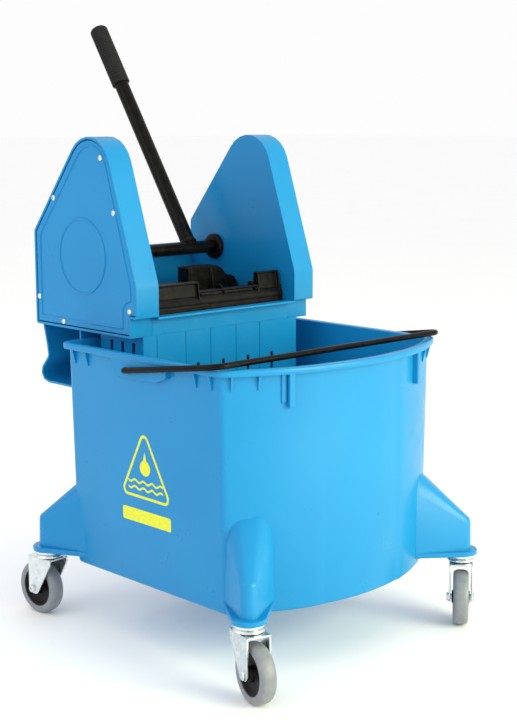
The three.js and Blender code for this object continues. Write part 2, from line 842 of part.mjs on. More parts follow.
function makeAxleBolt() {
  const head = CASTER.legGap / 2 + CASTER.sheet + GAP;
  const shank = CASTER.axleRadius;
  const profile = [
    [0, -head - 3.2],
    [6.2, -head - 3.2],
    [6.2, -head],
    [shank, -head],
    [shank, head],
    [6.2, head],
    [6.2, head + 3.2],
    [0, head + 3.2],
  ];
  return latheZ(profile, 12);
}

function makeHub() {
  const { hubRadius, axleRadius } = CASTER;
  const bore = axleRadius + GAP;
  const profile = [
    [bore, -12.5],
    [9, -12.5],
    [10, -7],
    [hubRadius - 3, -7],
    [hubRadius, -9],
    [hubRadius, 9],
    [hubRadius - 3, 7],
    [10, 7],
    [9, 12.5],
    [bore, 12.5],
    [bore, -12.5],
  ];
  return latheZ(profile, 16);
}

function makeTyre() {
  const { hubRadius, wheelRadius, treadWidth } = CASTER;
  const inner = hubRadius + GAP;
  const half = treadWidth / 2;
  const profile = [
    [inner, -half + 1],
    [wheelRadius - 5, -half],
    [wheelRadius, -half + 5],
    [wheelRadius, half - 5],
    [wheelRadius - 5, half],
    [inner, half - 1],
    [inner, -half + 1],
  ];
  return latheZ(profile, 32);
}

for (const { name, x, y, heading } of CASTER_PLACES) {
  const stem = addPart(parts, `caster_${name}_stem`, makeStem(), COLOUR.zinc, 0.3, 0.9);
  stem.position.set(x, y, 0);
  const swivel = new THREE.Group();
  swivel.position.set(x, y, 0);
  swivel.rotation.z = radians(heading);
  parts.add(swivel);
  addPart(swivel, `caster_${name}_race`, makeRace(), COLOUR.zinc, 0.3, 0.9);
  addPart(swivel, `caster_${name}_fork`, makeFork(), COLOUR.zinc, 0.3, 0.9);
  const wheel = new THREE.Group();
  wheel.position.set(CASTER.trail, 0, CASTER.wheelRadius);
  wheel.rotation.x = Math.PI / 2;
  swivel.add(wheel);
  addPart(wheel, `caster_${name}_axle`, makeAxleBolt(), COLOUR.zinc, 0.3, 0.9);
  addPart(wheel, `caster_${name}_hub`, makeHub(), COLOUR.black, 0.5);
  addPart(wheel, `caster_${name}_tyre`, makeTyre(), COLOUR.rubber, 0.6);
}

// ---- origin: floor point under the middle of the whole object -------------

const object = new THREE.Group();
object.add(parts);
object.updateMatrixWorld(true);
const bounds = new THREE.Box3().setFromObject(parts, true);
parts.position.set(-(bounds.min.x + bounds.max.x) / 2, -(bounds.min.y + bounds.max.y) / 2, -bounds.min.z);

export default object;
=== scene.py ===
# A wheeled mop bucket with its lift-off wringer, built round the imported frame.
import math
import bmesh
import bpy
from mathutils import Matrix, Vector


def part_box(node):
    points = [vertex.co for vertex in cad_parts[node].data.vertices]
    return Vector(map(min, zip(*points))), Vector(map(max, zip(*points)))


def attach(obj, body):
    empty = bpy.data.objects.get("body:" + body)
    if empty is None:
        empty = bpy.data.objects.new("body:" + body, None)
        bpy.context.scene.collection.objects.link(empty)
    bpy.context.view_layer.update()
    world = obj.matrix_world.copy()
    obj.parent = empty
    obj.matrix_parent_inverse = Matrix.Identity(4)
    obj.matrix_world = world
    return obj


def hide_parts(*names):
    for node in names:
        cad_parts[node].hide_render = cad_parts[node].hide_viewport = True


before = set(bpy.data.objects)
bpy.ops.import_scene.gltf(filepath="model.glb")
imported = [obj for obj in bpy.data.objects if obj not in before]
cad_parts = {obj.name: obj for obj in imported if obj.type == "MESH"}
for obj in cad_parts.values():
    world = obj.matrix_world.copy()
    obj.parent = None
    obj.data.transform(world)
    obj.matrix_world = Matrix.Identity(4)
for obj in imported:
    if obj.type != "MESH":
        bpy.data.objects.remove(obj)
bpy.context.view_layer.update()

# ---- camera, floor and light ------------------------------------------------
# The bucket stands on a white studio floor in an even white room. A warm soft light
# stands before the rounded front, so the flat side is darker and bluer than the front.
MM = 0.001
SHAFT_Y, SHAFT_Z = 194.0, 504.0
shaft_low, shaft_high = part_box("cross_shaft")
HOME = (Vector(shaft_low) + Vector(shaft_high)) / 2 - Vector((0, SHAFT_Y, SHAFT_Z)) * MM


def at(x, y, z):
    """A place given in millimetres from the bucket's own datum, as a scene point."""
    return HOME + Vector((x, y, z)) * MM


scene = bpy.context.scene
scene.view_settings.view_transform = "Standard"
IMAGE_HEIGHT = 720
FOCAL_IN_ROWS = 1427.3
SENSOR = 36.0
view_data = bpy.data.cameras.new("studio_camera")
view_data.sensor_width = SENSOR
view_data.lens = SENSOR * FOCAL_IN_ROWS / IMAGE_HEIGHT
view_data.clip_end = 200
camera = bpy.data.objects.new("studio_camera", view_data)
scene.collection.objects.link(camera)
camera.location = at(-1322.4, -1439.5, 694.6)
CAMERA_YAW, CAMERA_DIP, CAMERA_ROLL = math.radians(43.29), math.radians(9.568), math.radians(-0.158)
camera.rotation_mode = "QUATERNION"
camera.rotation_quaternion = (
    Matrix.Rotation(-CAMERA_YAW, 4, "Z")
    @ Matrix.Rotation(math.radians(90) - CAMERA_DIP, 4, "X")
    @ Matrix.Rotation(CAMERA_ROLL, 4, "Z")
).to_quaternion()
scene.camera = camera


def linear(code):
    """An sRGB hex colour such as '3FA0E0' as linear red, green, blue and alpha."""
    levels = [int(code[i:i + 2], 16) / 255 for i in (0, 2, 4)]
    return tuple(v / 12.92 if v <= 0.04045 else ((v + 0.055) / 1.055) ** 2.4 for v in levels) + (1.0,)


def add_node(material, kind, settings=(), values=(), links=()):
    """Adds one node: settings are its properties, values its sockets, links what feeds them."""
    tree = material.node_tree
    node = tree.nodes.new(kind)
    for key, value in dict(settings).items():
        setattr(node, key, value)
    for key, value in dict(values).items():
        node.inputs[key].default_value = value
    for key, source in dict(links).items():
        tree.links.new(source, node.inputs[key])
    return node


def new_material(name):
    """An empty node material with its Principled shader and object coordinates."""
    material = bpy.data.materials.new(name)
    material.use_nodes = True
    material.node_tree.nodes.clear()
    shader = add_node(material, "ShaderNodeBsdfPrincipled")
    place = add_node(material, "ShaderNodeTexCoord").outputs["Object"]
    add_node(material, "ShaderNodeOutputMaterial", links={"Surface": shader.outputs["BSDF"]})
    return material, shader, place


def tinted(material, source, low, high, start=0.35, end=0.65):
    """A two-colour ramp over a noise, as the socket that gives the colour."""
    ramp = add_node(material, "ShaderNodeValToRGB", links={"Fac": source})
    ramp.color_ramp.elements[0].position = start
    ramp.color_ramp.elements[0].color = linear(low)
    ramp.color_ramp.elements[1].position = end
    ramp.color_ramp.elements[1].color = linear(high)
    return ramp.outputs["Color"]


def noise(material, place, size_mm, detail=3.0, roughness=0.5):
    """Noise whose patches are about size_mm across."""
    values = {"Scale": 1 / (size_mm * MM), "Detail": detail, "Roughness": roughness}
    return add_node(material, "ShaderNodeTexNoise", values=values, links={"Vector": place}).outputs["Fac"]


def levels(material, source, low, high, start=0.3, end=0.7):
    """Spreads a grey source over low to high, such as a roughness that wanders."""
    values = {"From Min": start, "From Max": end, "To Min": low, "To Max": high}
    node = add_node(material, "ShaderNodeMapRange", values=values, links={"Value": source})
    return node.outputs["Result"]


def bumped(material, shader, height, depth_mm, strength=1.0):
    """Feeds a height to the shader's normal; depth_mm is the relief from black to white."""
    values = {"Strength": strength, "Distance": depth_mm * MM}
    bump = add_node(material, "ShaderNodeBump", values=values, links={"Height": height})
    material.node_tree.links.new(bump.outputs["Normal"], shader.inputs["Normal"])


def feed(material, source, shader, socket):
    material.node_tree.links.new(source, shader.inputs[socket])


# Matt white studio paint, very slightly mottled by the roller that laid it.
studio_paint, studio_shader, studio_place = new_material("studio_floor_paint")
mottle = noise(studio_paint, studio_place, 400)
feed(studio_paint, tinted(studio_paint, mottle, "FCFCFC", "FDFDFD"), studio_shader, "Base Color")
studio_shader.inputs["Roughness"].default_value = 0.75
studio_shader.inputs["Specular IOR Level"].default_value = 0.2

FLOOR_HALF = 45.0
floor_mesh = bpy.data.meshes.new("floor")
floor_form = bmesh.new()
bmesh.ops.create_grid(floor_form, x_segments=1, y_segments=1, size=FLOOR_HALF)
floor_form.to_mesh(floor_mesh)
floor_form.free()
floor_mesh.materials.append(studio_paint)
floor = bpy.data.objects.new("floor", floor_mesh)
scene.collection.objects.link(floor)

scene.world = bpy.data.worlds.new("studio_room")
scene.world.use_nodes = True
scene.world.node_tree.nodes["Background"].inputs["Color"].default_value = (1.0, 1.0, 1.0, 1.0)
scene.world.node_tree.nodes["Background"].inputs["Strength"].default_value = 0.98
MIDDLE = at(0, 0, 330)


def soft_light(name, place, size, watts, tint=(1.0, 1.0, 1.0)):
    """A square soft box aimed at the middle of the object, with a coloured gel if tinted."""
    data = bpy.data.lights.new(name, "AREA")
    data.shape = "RECTANGLE"
    data.size, data.size_y = size, size
    data.energy = watts
    data.color = tint
    lamp = bpy.data.objects.new(name, data)
    scene.collection.objects.link(lamp)
    lamp.location = place
    lamp.rotation_mode = "QUATERNION"
    lamp.rotation_quaternion = (MIDDLE - place).to_track_quat("-Z", "Y")


WARM = (0.97, 1.0, 0.66)
soft_light("key_light", at(600, -2500, 1000), 1.6, 74, WARM)
soft_light("side_light", at(-2300, 300, 1300), 1.5, 12)
soft_light("top_light", at(100, 300, 2600), 2.4, 4)

# ---- bucket shell -------------------------------------------------------------
# One injection-moulded polypropylene tub, dyed blue all through. Its walls flare
# 1.4 degrees to let it leave the mould, and a lipped rim stiffens the mouth.
WALL = 3.4
FLOOR_Z, RIM_Z = 85.0, 396.5
REAR_Y = 141.0
HALF_LOW, HALF_HIGH = 187.0, 194.5
APEX_LOW, APEX_HIGH = -239.0, -236.0
ARC_LOW, ARC_HIGH = 300.0, 330.0
CORNER = 13.0
PANEL_HALF = 70.0
PANEL_STEP = 1.8


def blue_polypropylene():
    """Moulded polypropylene: an even dyed blue under a satin skin with a faint gloss,
    fine spark-eroded grain from the mould, and light scuffs from use."""
    material, shader, place = new_material("moulded_blue_polypropylene")
    flow = noise(material, place, 180, 2)
    feed(material, tinted(material, flow, "0A7FBA", "1085C0", 0.3, 0.7), shader, "Base Color")
    scuff = noise(material, place, 35, 6, 0.65)
    feed(material, levels(material, scuff, 0.26, 0.40), shader, "Roughness")
    grain = noise(material, place, 1.6, 2)
    bumped(material, shader, grain, 0.05, 0.35)
    shader.inputs["IOR"].default_value = 1.49
    shader.inputs["Specular IOR Level"].default_value = 0.32
    return material


BLUE = blue_polypropylene()


def wall_half(z):
    """Half the bucket's outside width at a height."""
    rise = (z - FLOOR_Z) / (RIM_Z - FLOOR_Z)
    return HALF_LOW + (HALF_HIGH - HALF_LOW) * rise


def front_arc(z):
    """Apex and radius of the rounded front at a height."""
    rise = (z - FLOOR_Z) / (RIM_Z - FLOOR_Z)
    return APEX_LOW + (APEX_HIGH - APEX_LOW) * rise, ARC_LOW + (ARC_HIGH - ARC_LOW) * rise


def front_y(x, z):
    """Y of the rounded front's outside at a width and height."""
    apex, radius = front_arc(z)
    return apex + radius - math.sqrt(radius ** 2 - x * x)


def verts_of(geometry):
    """The vertices among what an operator gives back."""
    return [item for item in geometry if isinstance(item, bmesh.types.BMVert)]


def skin(form, outlines, capped=True):
    """A skin over a stack of closed outlines: each ring of edges is extruded to the next.
    The two ends are capped, or meet each other where the last outline is the first."""
    verts = [form.verts.new(spot) for spot in outlines[0]]
    ring = [form.edges.new((verts[i - 1], verts[i])) for i in range(len(verts))]
    first = ring
    for outline in outlines[1:]:
        made = bmesh.ops.extrude_edge_only(form, edges=ring)["geom"]
        fresh = set(verts_of(made))
        moved = [next(e.other_vert(v) for e in v.link_edges if e.other_vert(v) in fresh) for v in verts]
        for vert, spot in zip(moved, outline):
            vert.co = spot
        verts = moved
        ring = [form.edges.get((verts[i - 1], verts[i])) for i in range(len(verts))]
    if capped:
        bmesh.ops.contextual_create(form, geom=first)
        bmesh.ops.contextual_create(form, geom=ring)


def bucket_outline(z, grow):
    """The bucket's plan at a height: arc, two corners, side and rear wall, let out by grow."""
    half = wall_half(z) + grow
    apex, radius = front_arc(z)
    middle = apex + radius
    radius += grow
    corner = max(CORNER + grow, 4.0)
    corner_y = middle - math.sqrt((radius - corner) ** 2 - (half - corner) ** 2)
    meet = math.atan2(corner_y - middle, half - corner)
    side = []
    for k in range(1, 31):
        angle = -math.pi / 2 + (meet + math.pi / 2) * k / 30
        x = radius * math.cos(angle)
        step = PANEL_STEP * (1 - min(max((x - PANEL_HALF) / 5, 0), 1))
        side.append((x, middle + radius * math.sin(angle) + step))
    for k in range(1, 8):
        angle = meet * (1 - k / 7)
        side.append((half - corner + corner * math.cos(angle), corner_y + corner * math.sin(angle)))
    rear = REAR_Y + grow
    for k in range(8):
        angle = math.pi / 2 * k / 7
        side.append((half - corner + corner * math.cos(angle), rear - corner + corner * math.sin(angle)))
    loop = [(0.0, middle - radius + PANEL_STEP)] + side + [(-x, y) for x, y in reversed(side)]
    return [at(x, y, z) for x, y in loop]


def finish_piece(form, name, material, body, slot, nodes=(), bevel=0.0, segments=2, angle=32):
    """Turns a bmesh into a shaded object that rides on its body and stands for CAD nodes."""
    bmesh.ops.remove_doubles(form, verts=form.verts, dist=1e-6)
    bmesh.ops.recalc_face_normals(form, faces=form.faces)
    for face in form.faces:
        face.smooth = True
    for edge in form.edges:
        edge.smooth = edge.is_manifold and edge.calc_face_angle(0.0) < math.radians(angle)
    mesh = bpy.data.meshes.new(name)
    form.to_mesh(mesh)
    form.free()
    mesh.materials.append(material)
    piece = bpy.data.objects.new(name, mesh)
    scene.collection.objects.link(piece)
    if bevel:
        rounding = piece.modifiers.new("rounding", "BEVEL")
        rounding.width = bevel * MM
        rounding.segments = segments
        rounding.limit_method = "ANGLE"
        rounding.angle_limit = math.radians(angle)
        rounding.harden_normals = True
    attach(piece, body)
    if nodes:
        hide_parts(*nodes)
    return piece


def blue_piece(form, name, body, nodes=(), **shape):
    """Finishes a form as blue moulded polypropylene; shape is its bevel, segments and angle."""
    return finish_piece(form, name, BLUE, body, "blue_polypropylene", nodes, **shape)


tub = bmesh.new()
RIM_REACH, RIM_DROP = 8.5, 8.0
SHELL_SECTIONS = [
    (FLOOR_Z, -4.0), (FLOOR_Z + 0.4, -2.0), (FLOOR_Z + 2, -0.6), (FLOOR_Z + 4.5, 0.0),
    (200.0, 0.0), (300.0, 0.0), (RIM_Z - 5.5, 0.0), (RIM_Z - 4, 0.4), (RIM_Z - 3.4, 1.6),
    (RIM_Z - 3.4, RIM_REACH - 3.4), (RIM_Z - RIM_DROP, RIM_REACH - 3.2),
    (RIM_Z - RIM_DROP, RIM_REACH - 0.4),
    (RIM_Z - RIM_DROP + 0.6, RIM_REACH), (RIM_Z - 2, RIM_REACH), (RIM_Z - 0.6, RIM_REACH - 0.6),
    (RIM_Z, RIM_REACH - 2), (RIM_Z, -1.4), (RIM_Z - 0.6, -2.8), (RIM_Z - 2, -WALL),
    (300.0, -WALL), (200.0, -WALL), (FLOOR_Z + WALL + 6, -WALL), (FLOOR_Z + WALL + 2, -WALL - 1.2),
    (FLOOR_Z + WALL + 0.4, -WALL - 3.4), (FLOOR_Z + WALL, -WALL - 6),
]
skin(tub, [bucket_outline(z, grow) for z, grow in SHELL_SECTIONS])
blue_piece(tub, "bucket_shell", "bucket", ["bucket_body"], angle=50)

# ---- caster legs ----------------------------------------------------------------
# Four hollow legs are moulded with the tub and fan out from its corners. Each ends
# in a round foot flange that the caster's top race bears on.
LEG_X, LEG_FRONT_Y, LEG_REAR_Y = 203.0, -232.8, 182.3
LEG_FOOT_Z, LEG_POST_TOP, LEG_ROOT_TOP = 96.0, 148.0, 218.0
ROOT_X, ROOT_FRONT_Y, ROOT_REAR_Y, ROOT_HALF = 158, -184, 126, 33
FOOT_R = 22.0
POST_RINGS = [
    (LEG_FOOT_Z + 3, 13.0), (LEG_FOOT_Z + 10, 12.2), (LEG_POST_TOP - 6, 12.0),
    (LEG_POST_TOP - 2, 11.0), (LEG_POST_TOP, 8.0),
]
ROOT_SPREADS = [
    (LEG_FOOT_Z + 3, 1.0), (LEG_ROOT_TOP - 28, 0.92), (LEG_ROOT_TOP - 9, 0.72), (LEG_ROOT_TOP, 0.4),
]
FOOT_RINGS = [
    (LEG_FOOT_Z, FOOT_R - 1), (LEG_FOOT_Z + 1, FOOT_R),
    (LEG_FOOT_Z + 6, FOOT_R), (LEG_FOOT_Z + 7, FOOT_R - 1),
]


def leg_roots(side, post_y, half):
    """The two ends of a leg's root line, inside the bucket's corner, and the post."""
    post = Vector((side * LEG_X, post_y, 0))
    root = Vector((side * ROOT_X, ROOT_FRONT_Y if post_y < 0 else ROOT_REAR_Y, 0))
    along = (post - root).normalized()
    across = Vector((-along.y, along.x, 0))
    return post, [root + across * half, root - across * half]


def hull_of(form, rings_of_points):
    """The convex skin round a set of points, with flat faces merged."""
    verts = [form.verts.new(at(*p)) for p in rings_of_points]
    made = bmesh.ops.convex_hull(form, input=verts, use_existing_faces=False)
    bmesh.ops.delete(form, geom=verts_of(made["geom_interior"]), context="VERTS")
    bmesh.ops.dissolve_limit(form, angle_limit=math.radians(1), verts=form.verts, edges=form.edges)


def circle_points(x, y, z, radius, count):
    turns = [2 * math.pi * k / count for k in range(count)]
    return [(x + radius * math.cos(a), y + radius * math.sin(a), z) for a in turns]


for side, side_name in ((-1, "left"), (1, "right")):
    for post_y, end_name in ((LEG_FRONT_Y, "front"), (LEG_REAR_Y, "rear")):
        post, roots = leg_roots(side, post_y, ROOT_HALF)
        leg = bmesh.new()
        points = []
        for z, radius in POST_RINGS:
            points += circle_points(post.x, post.y, z, radius, 28)
        for z, spread in ROOT_SPREADS:
            middle = (roots[0] + roots[1]) / 2
            for root in roots:
                spot = middle + (root - middle) * spread
                points.append((spot.x, spot.y, z))
        hull_of(leg, points)
        blue_piece(leg, f"caster_leg_{end_name}_{side_name}", "bucket",
                   bevel=2.2, segments=3, angle=22)
        foot = bmesh.new()
        points = []
        for z, radius in FOOT_RINGS:
            points += circle_points(post.x, post.y, z, radius, 44)
            wide_roots = leg_roots(side, post_y, ROOT_HALF + radius - FOOT_R)[1]
            points += [(root.x, root.y, z) for root in wide_roots]
        hull_of(foot, points)
        blue_piece(foot, f"caster_foot_{end_name}_{side_name}", "bucket", angle=40)

# ---- rim gussets, posts and bail brackets ------------------------------------------
# Thin ribs under the rim stop it from bending, two upright posts on the front arc
# rest a carried wringer, and a thick bracket on each side takes the bail's pivot.


def prism(form, corners, to_point, depth):
    """A closed prism: corners in a plane, swept along the depth vector (millimetres)."""
    verts = [form.verts.new(at(*to_point(u, v))) for u, v in corners]
    face = form.faces.new(verts)
    swept = bmesh.ops.extrude_face_region(form, geom=[face])["geom"]
    moved = verts_of(swept)
    bmesh.ops.translate(form, verts=moved, vec=Vector(depth) * MM)


RIB_TOP, RIB_FOOT, RIB_REACH = RIM_Z - 2.5, RIM_Z - 27.5, 6.5
RIB_HALF, RIB_ROOT = 1.5, 1.5
RIB_CORNERS = [
    (0, RIB_TOP), (RIB_REACH + RIB_ROOT, RIB_TOP), (RIB_REACH + RIB_ROOT, RIB_TOP - 3),
    (2.6, RIB_FOOT), (0, RIB_FOOT),
]
SIDE_RIB_Y, FRONT_RIB_X, REAR_RIB_X = (-158, -130, 92, 120), (182, 152.7), (-120, -40, 40, 120)


def wall_rib(form, foot, outward):
    """A triangular rib standing on a wall at foot, pointing outward, under the rim."""
    out = Vector((*outward, 0)).normalized()
    across = Vector((-out.y, out.x, 0))
    start = Vector((*foot, 0)) - out * RIB_ROOT - across * RIB_HALF
    sweep = across * 2 * RIB_HALF
    prism(form, RIB_CORNERS, lambda u, v: (start.x + out.x * u, start.y + out.y * u, v), sweep)


ribs = bmesh.new()
for side in (-1, 1):
    for y in SIDE_RIB_Y:
        wall_rib(ribs, (side * wall_half(RIB_TOP), y), (side, 0))
    for x in FRONT_RIB_X:
        apex, radius = front_arc(RIB_TOP)
        spot = (side * x, front_y(x, RIB_TOP))
        wall_rib(ribs, spot, (spot[0], spot[1] - apex - radius))
for x in REAR_RIB_X:
    wall_rib(ribs, (x, REAR_Y), (0, 1))
blue_piece(ribs, "rim_gussets", "bucket", bevel=0.5, angle=30)

# Each post is a deep upright beside a shallow one: (start, end, depth, foot height).
POST_X, POST_STEPS = 115, ((-5, 3, 10, 346), (-13, -5, 4, 352))
BRACKET_OUTLINE = [(28, 366), (28, 394), (-80, 394), (-80, 374), (-58, 366)]

for side, side_name in ((-1, "left"), (1, "right")):
    apex, radius = front_arc(RIM_Z)
    lean = math.asin(POST_X / radius)
    out = Vector((side * math.sin(lean), -math.cos(lean), 0))
    across = Vector((-out.y, out.x, 0))
    centre = Vector((0, apex + radius, 0))
    post = bmesh.new()
    base = centre + out * (radius - 2)
    for x0, x1, deep, low in POST_STEPS:
        corner = base + across * (x0 * -side)
        width = across * ((x1 - x0) * -side)
        sweep = (0, 0, RIM_Z - 3 - low)
        corners = [(0, 0), (1, 0), (1, deep), (0, deep)]
        prism(post, corners, lambda u, v: tuple(corner + width * u + out * v + Vector((0, 0, low))), sweep)
    blue_piece(post, f"front_post_{side_name}", "bucket", bevel=1.6, segments=3, angle=30)
    bracket = bmesh.new()
    start_x = side * (HALF_HIGH - 3)
    prism(bracket, BRACKET_OUTLINE, lambda u, v: (start_x, u, v), (side * (RIM_REACH + 2.5), 0, 0))
    blue_piece(bracket, f"bail_bracket_{side_name}", "bucket", bevel=1.4, segments=3, angle=30)

# ---- bail ------------------------------------------------------------------------
# An 8 mm steel rod bent to a long U and powder coated black. Its ends are hooked
# inwards through the brackets, so it swings up over the mouth.
BAIL_ROD = 4.0
BAIL_X, BAIL_Y, BAIL_Z, BAIL_REACH, BAIL_BEND = 209.5, -2.0, 376.0, 184.0, 20.0
BAIL_HOOK = 6.0
BAIL_RISE = math.radians(8.4)


def powder_coat(name, low, high, rough):
    """Black powder coat baked on steel: satin, with a fine orange peel and dust in it."""
    material, shader, place = new_material(name)
    dust = noise(material, place, 14, 6, 0.7)
    feed(material, tinted(material, dust, low, high, 0.4, 0.75), shader, "Base Color")
    feed(material, levels(material, dust, rough - 0.06, rough + 0.1), shader, "Roughness")
    peel = noise(material, place, 2.2, 2)
    bumped(material, shader, peel, 0.06, 0.5)
    shader.inputs["IOR"].default_value = 1.5
    shader.inputs["Specular IOR Level"].default_value = 0.1
    return material


BLACK_STEEL = powder_coat("black_powder_coat_on_steel", "080706", "161412", 0.3)


def bail_rod():
    """The bail's middle line, from one hooked end round to the other."""
    half = [(HALF_HIGH + 1, 0), (BAIL_X - BAIL_HOOK, 0)]
    for degrees in (18, 36, 54, 72, 90):
        turn = math.radians(degrees)
        out, ahead = BAIL_HOOK * math.sin(turn), BAIL_HOOK * math.cos(turn)
        half.append((BAIL_X - BAIL_HOOK + out, BAIL_HOOK - ahead))
    for k in range(13):
        turn = math.pi / 2 * k / 12
        out, ahead = BAIL_BEND * math.cos(turn), BAIL_BEND * math.sin(turn)
        half.append((BAIL_X - BAIL_BEND + out, BAIL_REACH - BAIL_BEND + ahead))
    line = [(-x, y) for x, y in half] + [(x, y) for x, y in reversed(half)]
    return [at(x, BAIL_Y - y * math.cos(BAIL_RISE), BAIL_Z + y * math.sin(BAIL_RISE)) for x, y in line]


def curve_rod(name, line, radius, material, body, slot, nodes):
    """A round rod along a line of points, made a mesh."""
    data = bpy.data.curves.new(name, "CURVE")
    data.dimensions = "3D"
    data.bevel_depth = radius * MM
    data.bevel_resolution = 5
    data.use_fill_caps = True
    spline = data.splines.new("POLY")
    spline.points.add(len(line) - 1)
    for knot, spot in zip(spline.points, line):
        knot.co = (*spot, 1.0)
    carrier = bpy.data.objects.new(name + "_line", data)
    mesh = bpy.data.meshes.new_from_object(carrier)
    form = bmesh.new()
    form.from_mesh(mesh)
    bpy.data.objects.remove(carrier)
    bpy.data.curves.remove(data)
    bpy.data.meshes.remove(mesh)
    return finish_piece(form, name, material, body, slot, nodes, angle=50)


curve_rod("bail_rod", bail_rod(), BAIL_ROD, BLACK_STEEL, "bail",
          "black_powder_coated_steel", ["bail_handle"])

# ---- wringer towers ----------------------------------------------------------------
# Two hollow towers stand at the ends of the wringer's moulding. They hide the gears,
# and each is open on its outer side until its cover is screwed on.
TOWER_IN, TOWER_OUT = 126.7, 164.8
TOWER_CORNERS = [
    (36, 408), (252.4, 408), (252.4, 541.2), (103.5, 722), (22.3, 478.5), (22.3, 434.8), (36, 434.8),
]
TOWER_ROUNDS = [1, 4, 10, 48, 26, 2, 1]


def rounded_outline(corners, rounds, inset=0.0, steps=8):
    """A counter-clockwise outline moved in by inset, with each corner an arc."""
    count = len(corners)
    moved = []
    for i, corner in enumerate(corners):
        before = (Vector(corner) - Vector(corners[i - 1])).normalized()
        after = (Vector(corners[(i + 1) % count]) - Vector(corner)).normalized()
        turn = before.x * after.y - before.y * after.x
        moved.append(Vector(corner) + (after - before) * (inset / turn))
    outline = []
    for i, corner in enumerate(moved):
        back = (moved[i - 1] - corner).normalized()
        ahead = (moved[(i + 1) % count] - corner).normalized()
        hollow = back.x * ahead.y - back.y * ahead.x > 0
        radius = max(rounds[i] + (inset if hollow else -inset), 0.6)
        half = back.angle(ahead) / 2
        centre = corner + (back + ahead).normalized() * (radius / math.sin(half))
        start = corner + back * (radius / math.tan(half)) - centre
        sweep = start.angle_signed(corner + ahead * (radius / math.tan(half)) - centre)
        for k in range(steps + 1):
            turned = Matrix.Rotation(-sweep * k / steps, 2) @ start
            outline.append((centre.x + turned.x, centre.y + turned.y))
    return outline


def hollow_prism(form, outer, inner, x_floor, x_rim, x_back):
    """A tray on the X axis: outer wall from x_back to x_rim, pocket floor at x_floor."""
    rows = ((outer, x_back), (outer, x_rim), (inner, x_rim), (inner, x_floor))
    skin(form, [[at(x, u, v) for u, v in outline] for outline, x in rows])


tower_outer = rounded_outline(TOWER_CORNERS, TOWER_ROUNDS)
tower_inner = rounded_outline(TOWER_CORNERS, TOWER_ROUNDS, WALL)
for side, side_name in ((-1, "left"), (1, "right")):
    tower = bmesh.new()
    pocket_floor = side * (TOWER_IN + WALL)
    hollow_prism(tower, tower_outer, tower_inner, pocket_floor, side * TOWER_OUT, side * TOWER_IN)
    nodes = ["wringer_housing"] if side < 0 else []
    blue_piece(tower, f"wringer_tower_{side_name}", "wringer", nodes,
               bevel=1.6, segments=3, angle=40)

# ---- wringer basket ------------------------------------------------------------------
# The box below the towers that holds the mop head. Its walls are slotted so that the
# water runs back to the bucket, and shallow grooves divide the front wall.
BASKET_HALF, BASKET_FLOOR, BASKET_RIM = 143.5, 255.0, 431.0
BASKET_FRONT, BASKET_REAR = 36.0, 134.5
REAR_ROUND = 7.0
SLOT_X, SLOT_HALF = (-94, -47, 0, 47, 94), 2.5
SIDE_SLOT_Y, SIDE_SLOT_HALF = (57, 81, 105), 3.0
SLOT_LOW, REAR_SLOT_TOP, FRONT_SLOT_TOP, SIDE_SLOT_TOP = 280, 315, 363, 398
GROOVE_X = (-120, -69, -23.5, 24, 70)
GROOVE_Z, GROOVE_HALF, GROOVE_DEEP = 409.0, 0.5, 0.9


def cut_across(form, axis, spot):
    """Cuts the whole form with a plane at spot millimetres along an axis."""
    normal = Vector([1.0 if i == axis else 0.0 for i in range(3)])
    place = at(*[spot if i == axis else 0 for i in range(3)])
    geometry = form.verts[:] + form.edges[:] + form.faces[:]
    bmesh.ops.bisect_plane(form, geom=geometry, dist=1e-7, plane_co=place, plane_no=normal)


def middle_of(face):
    """A face's middle in millimetres."""
    return (face.calc_center_median() - HOME) / MM


basket = bmesh.new()
size = Vector((2 * BASKET_HALF, BASKET_REAR - BASKET_FRONT, BASKET_RIM - BASKET_FLOOR)) * MM
centre = at(0, (BASKET_FRONT + BASKET_REAR) / 2, (BASKET_RIM + BASKET_FLOOR) / 2)
bmesh.ops.create_cube(basket, size=1.0, matrix=Matrix.Translation(centre) @ Matrix.Diagonal((*size, 1)))
bmesh.ops.delete(basket, geom=[f for f in basket.faces if f.normal.z > 0.9], context="FACES_ONLY")
uprights = [
    edge for edge in basket.edges
    if abs((edge.verts[0].co - edge.verts[1].co).normalized().z) > 0.9 and edge.verts[0].co.y > centre.y
]
bmesh.ops.bevel(basket, geom=uprights, offset=REAR_ROUND * MM, offset_type="OFFSET", affect="EDGES",
                segments=5, profile=0.5, material=-1)
for x in SLOT_X:
    cut_across(basket, 0, x - SLOT_HALF)
    cut_across(basket, 0, x + SLOT_HALF)
for x in (-TOWER_IN, TOWER_IN):
    cut_across(basket, 0, x)
for x in GROOVE_X:
    cut_across(basket, 0, x - GROOVE_HALF)
    cut_across(basket, 0, x + GROOVE_HALF)
for y in SIDE_SLOT_Y:
    cut_across(basket, 1, y - SIDE_SLOT_HALF)
    cut_across(basket, 1, y + SIDE_SLOT_HALF)
slot_levels = (SLOT_LOW, REAR_SLOT_TOP, FRONT_SLOT_TOP, SIDE_SLOT_TOP)
for z in slot_levels + (GROOVE_Z - GROOVE_HALF, GROOVE_Z + GROOVE_HALF):
    cut_across(basket, 2, z)


def in_slot(face):
    x, y, z = middle_of(face)
    in_x = any(abs(x - spot) < SLOT_HALF for spot in SLOT_X)
    in_y = any(abs(y - spot) < SIDE_SLOT_HALF for spot in SIDE_SLOT_Y)
    if abs(face.normal.y) > 0.9 and in_x:
        return SLOT_LOW < z < (FRONT_SLOT_TOP if y < 80 else REAR_SLOT_TOP)
    if abs(face.normal.x) > 0.9 and in_y:
        return SLOT_LOW < z < SIDE_SLOT_TOP
    return abs(face.normal.z) > 0.9 and in_x and in_y


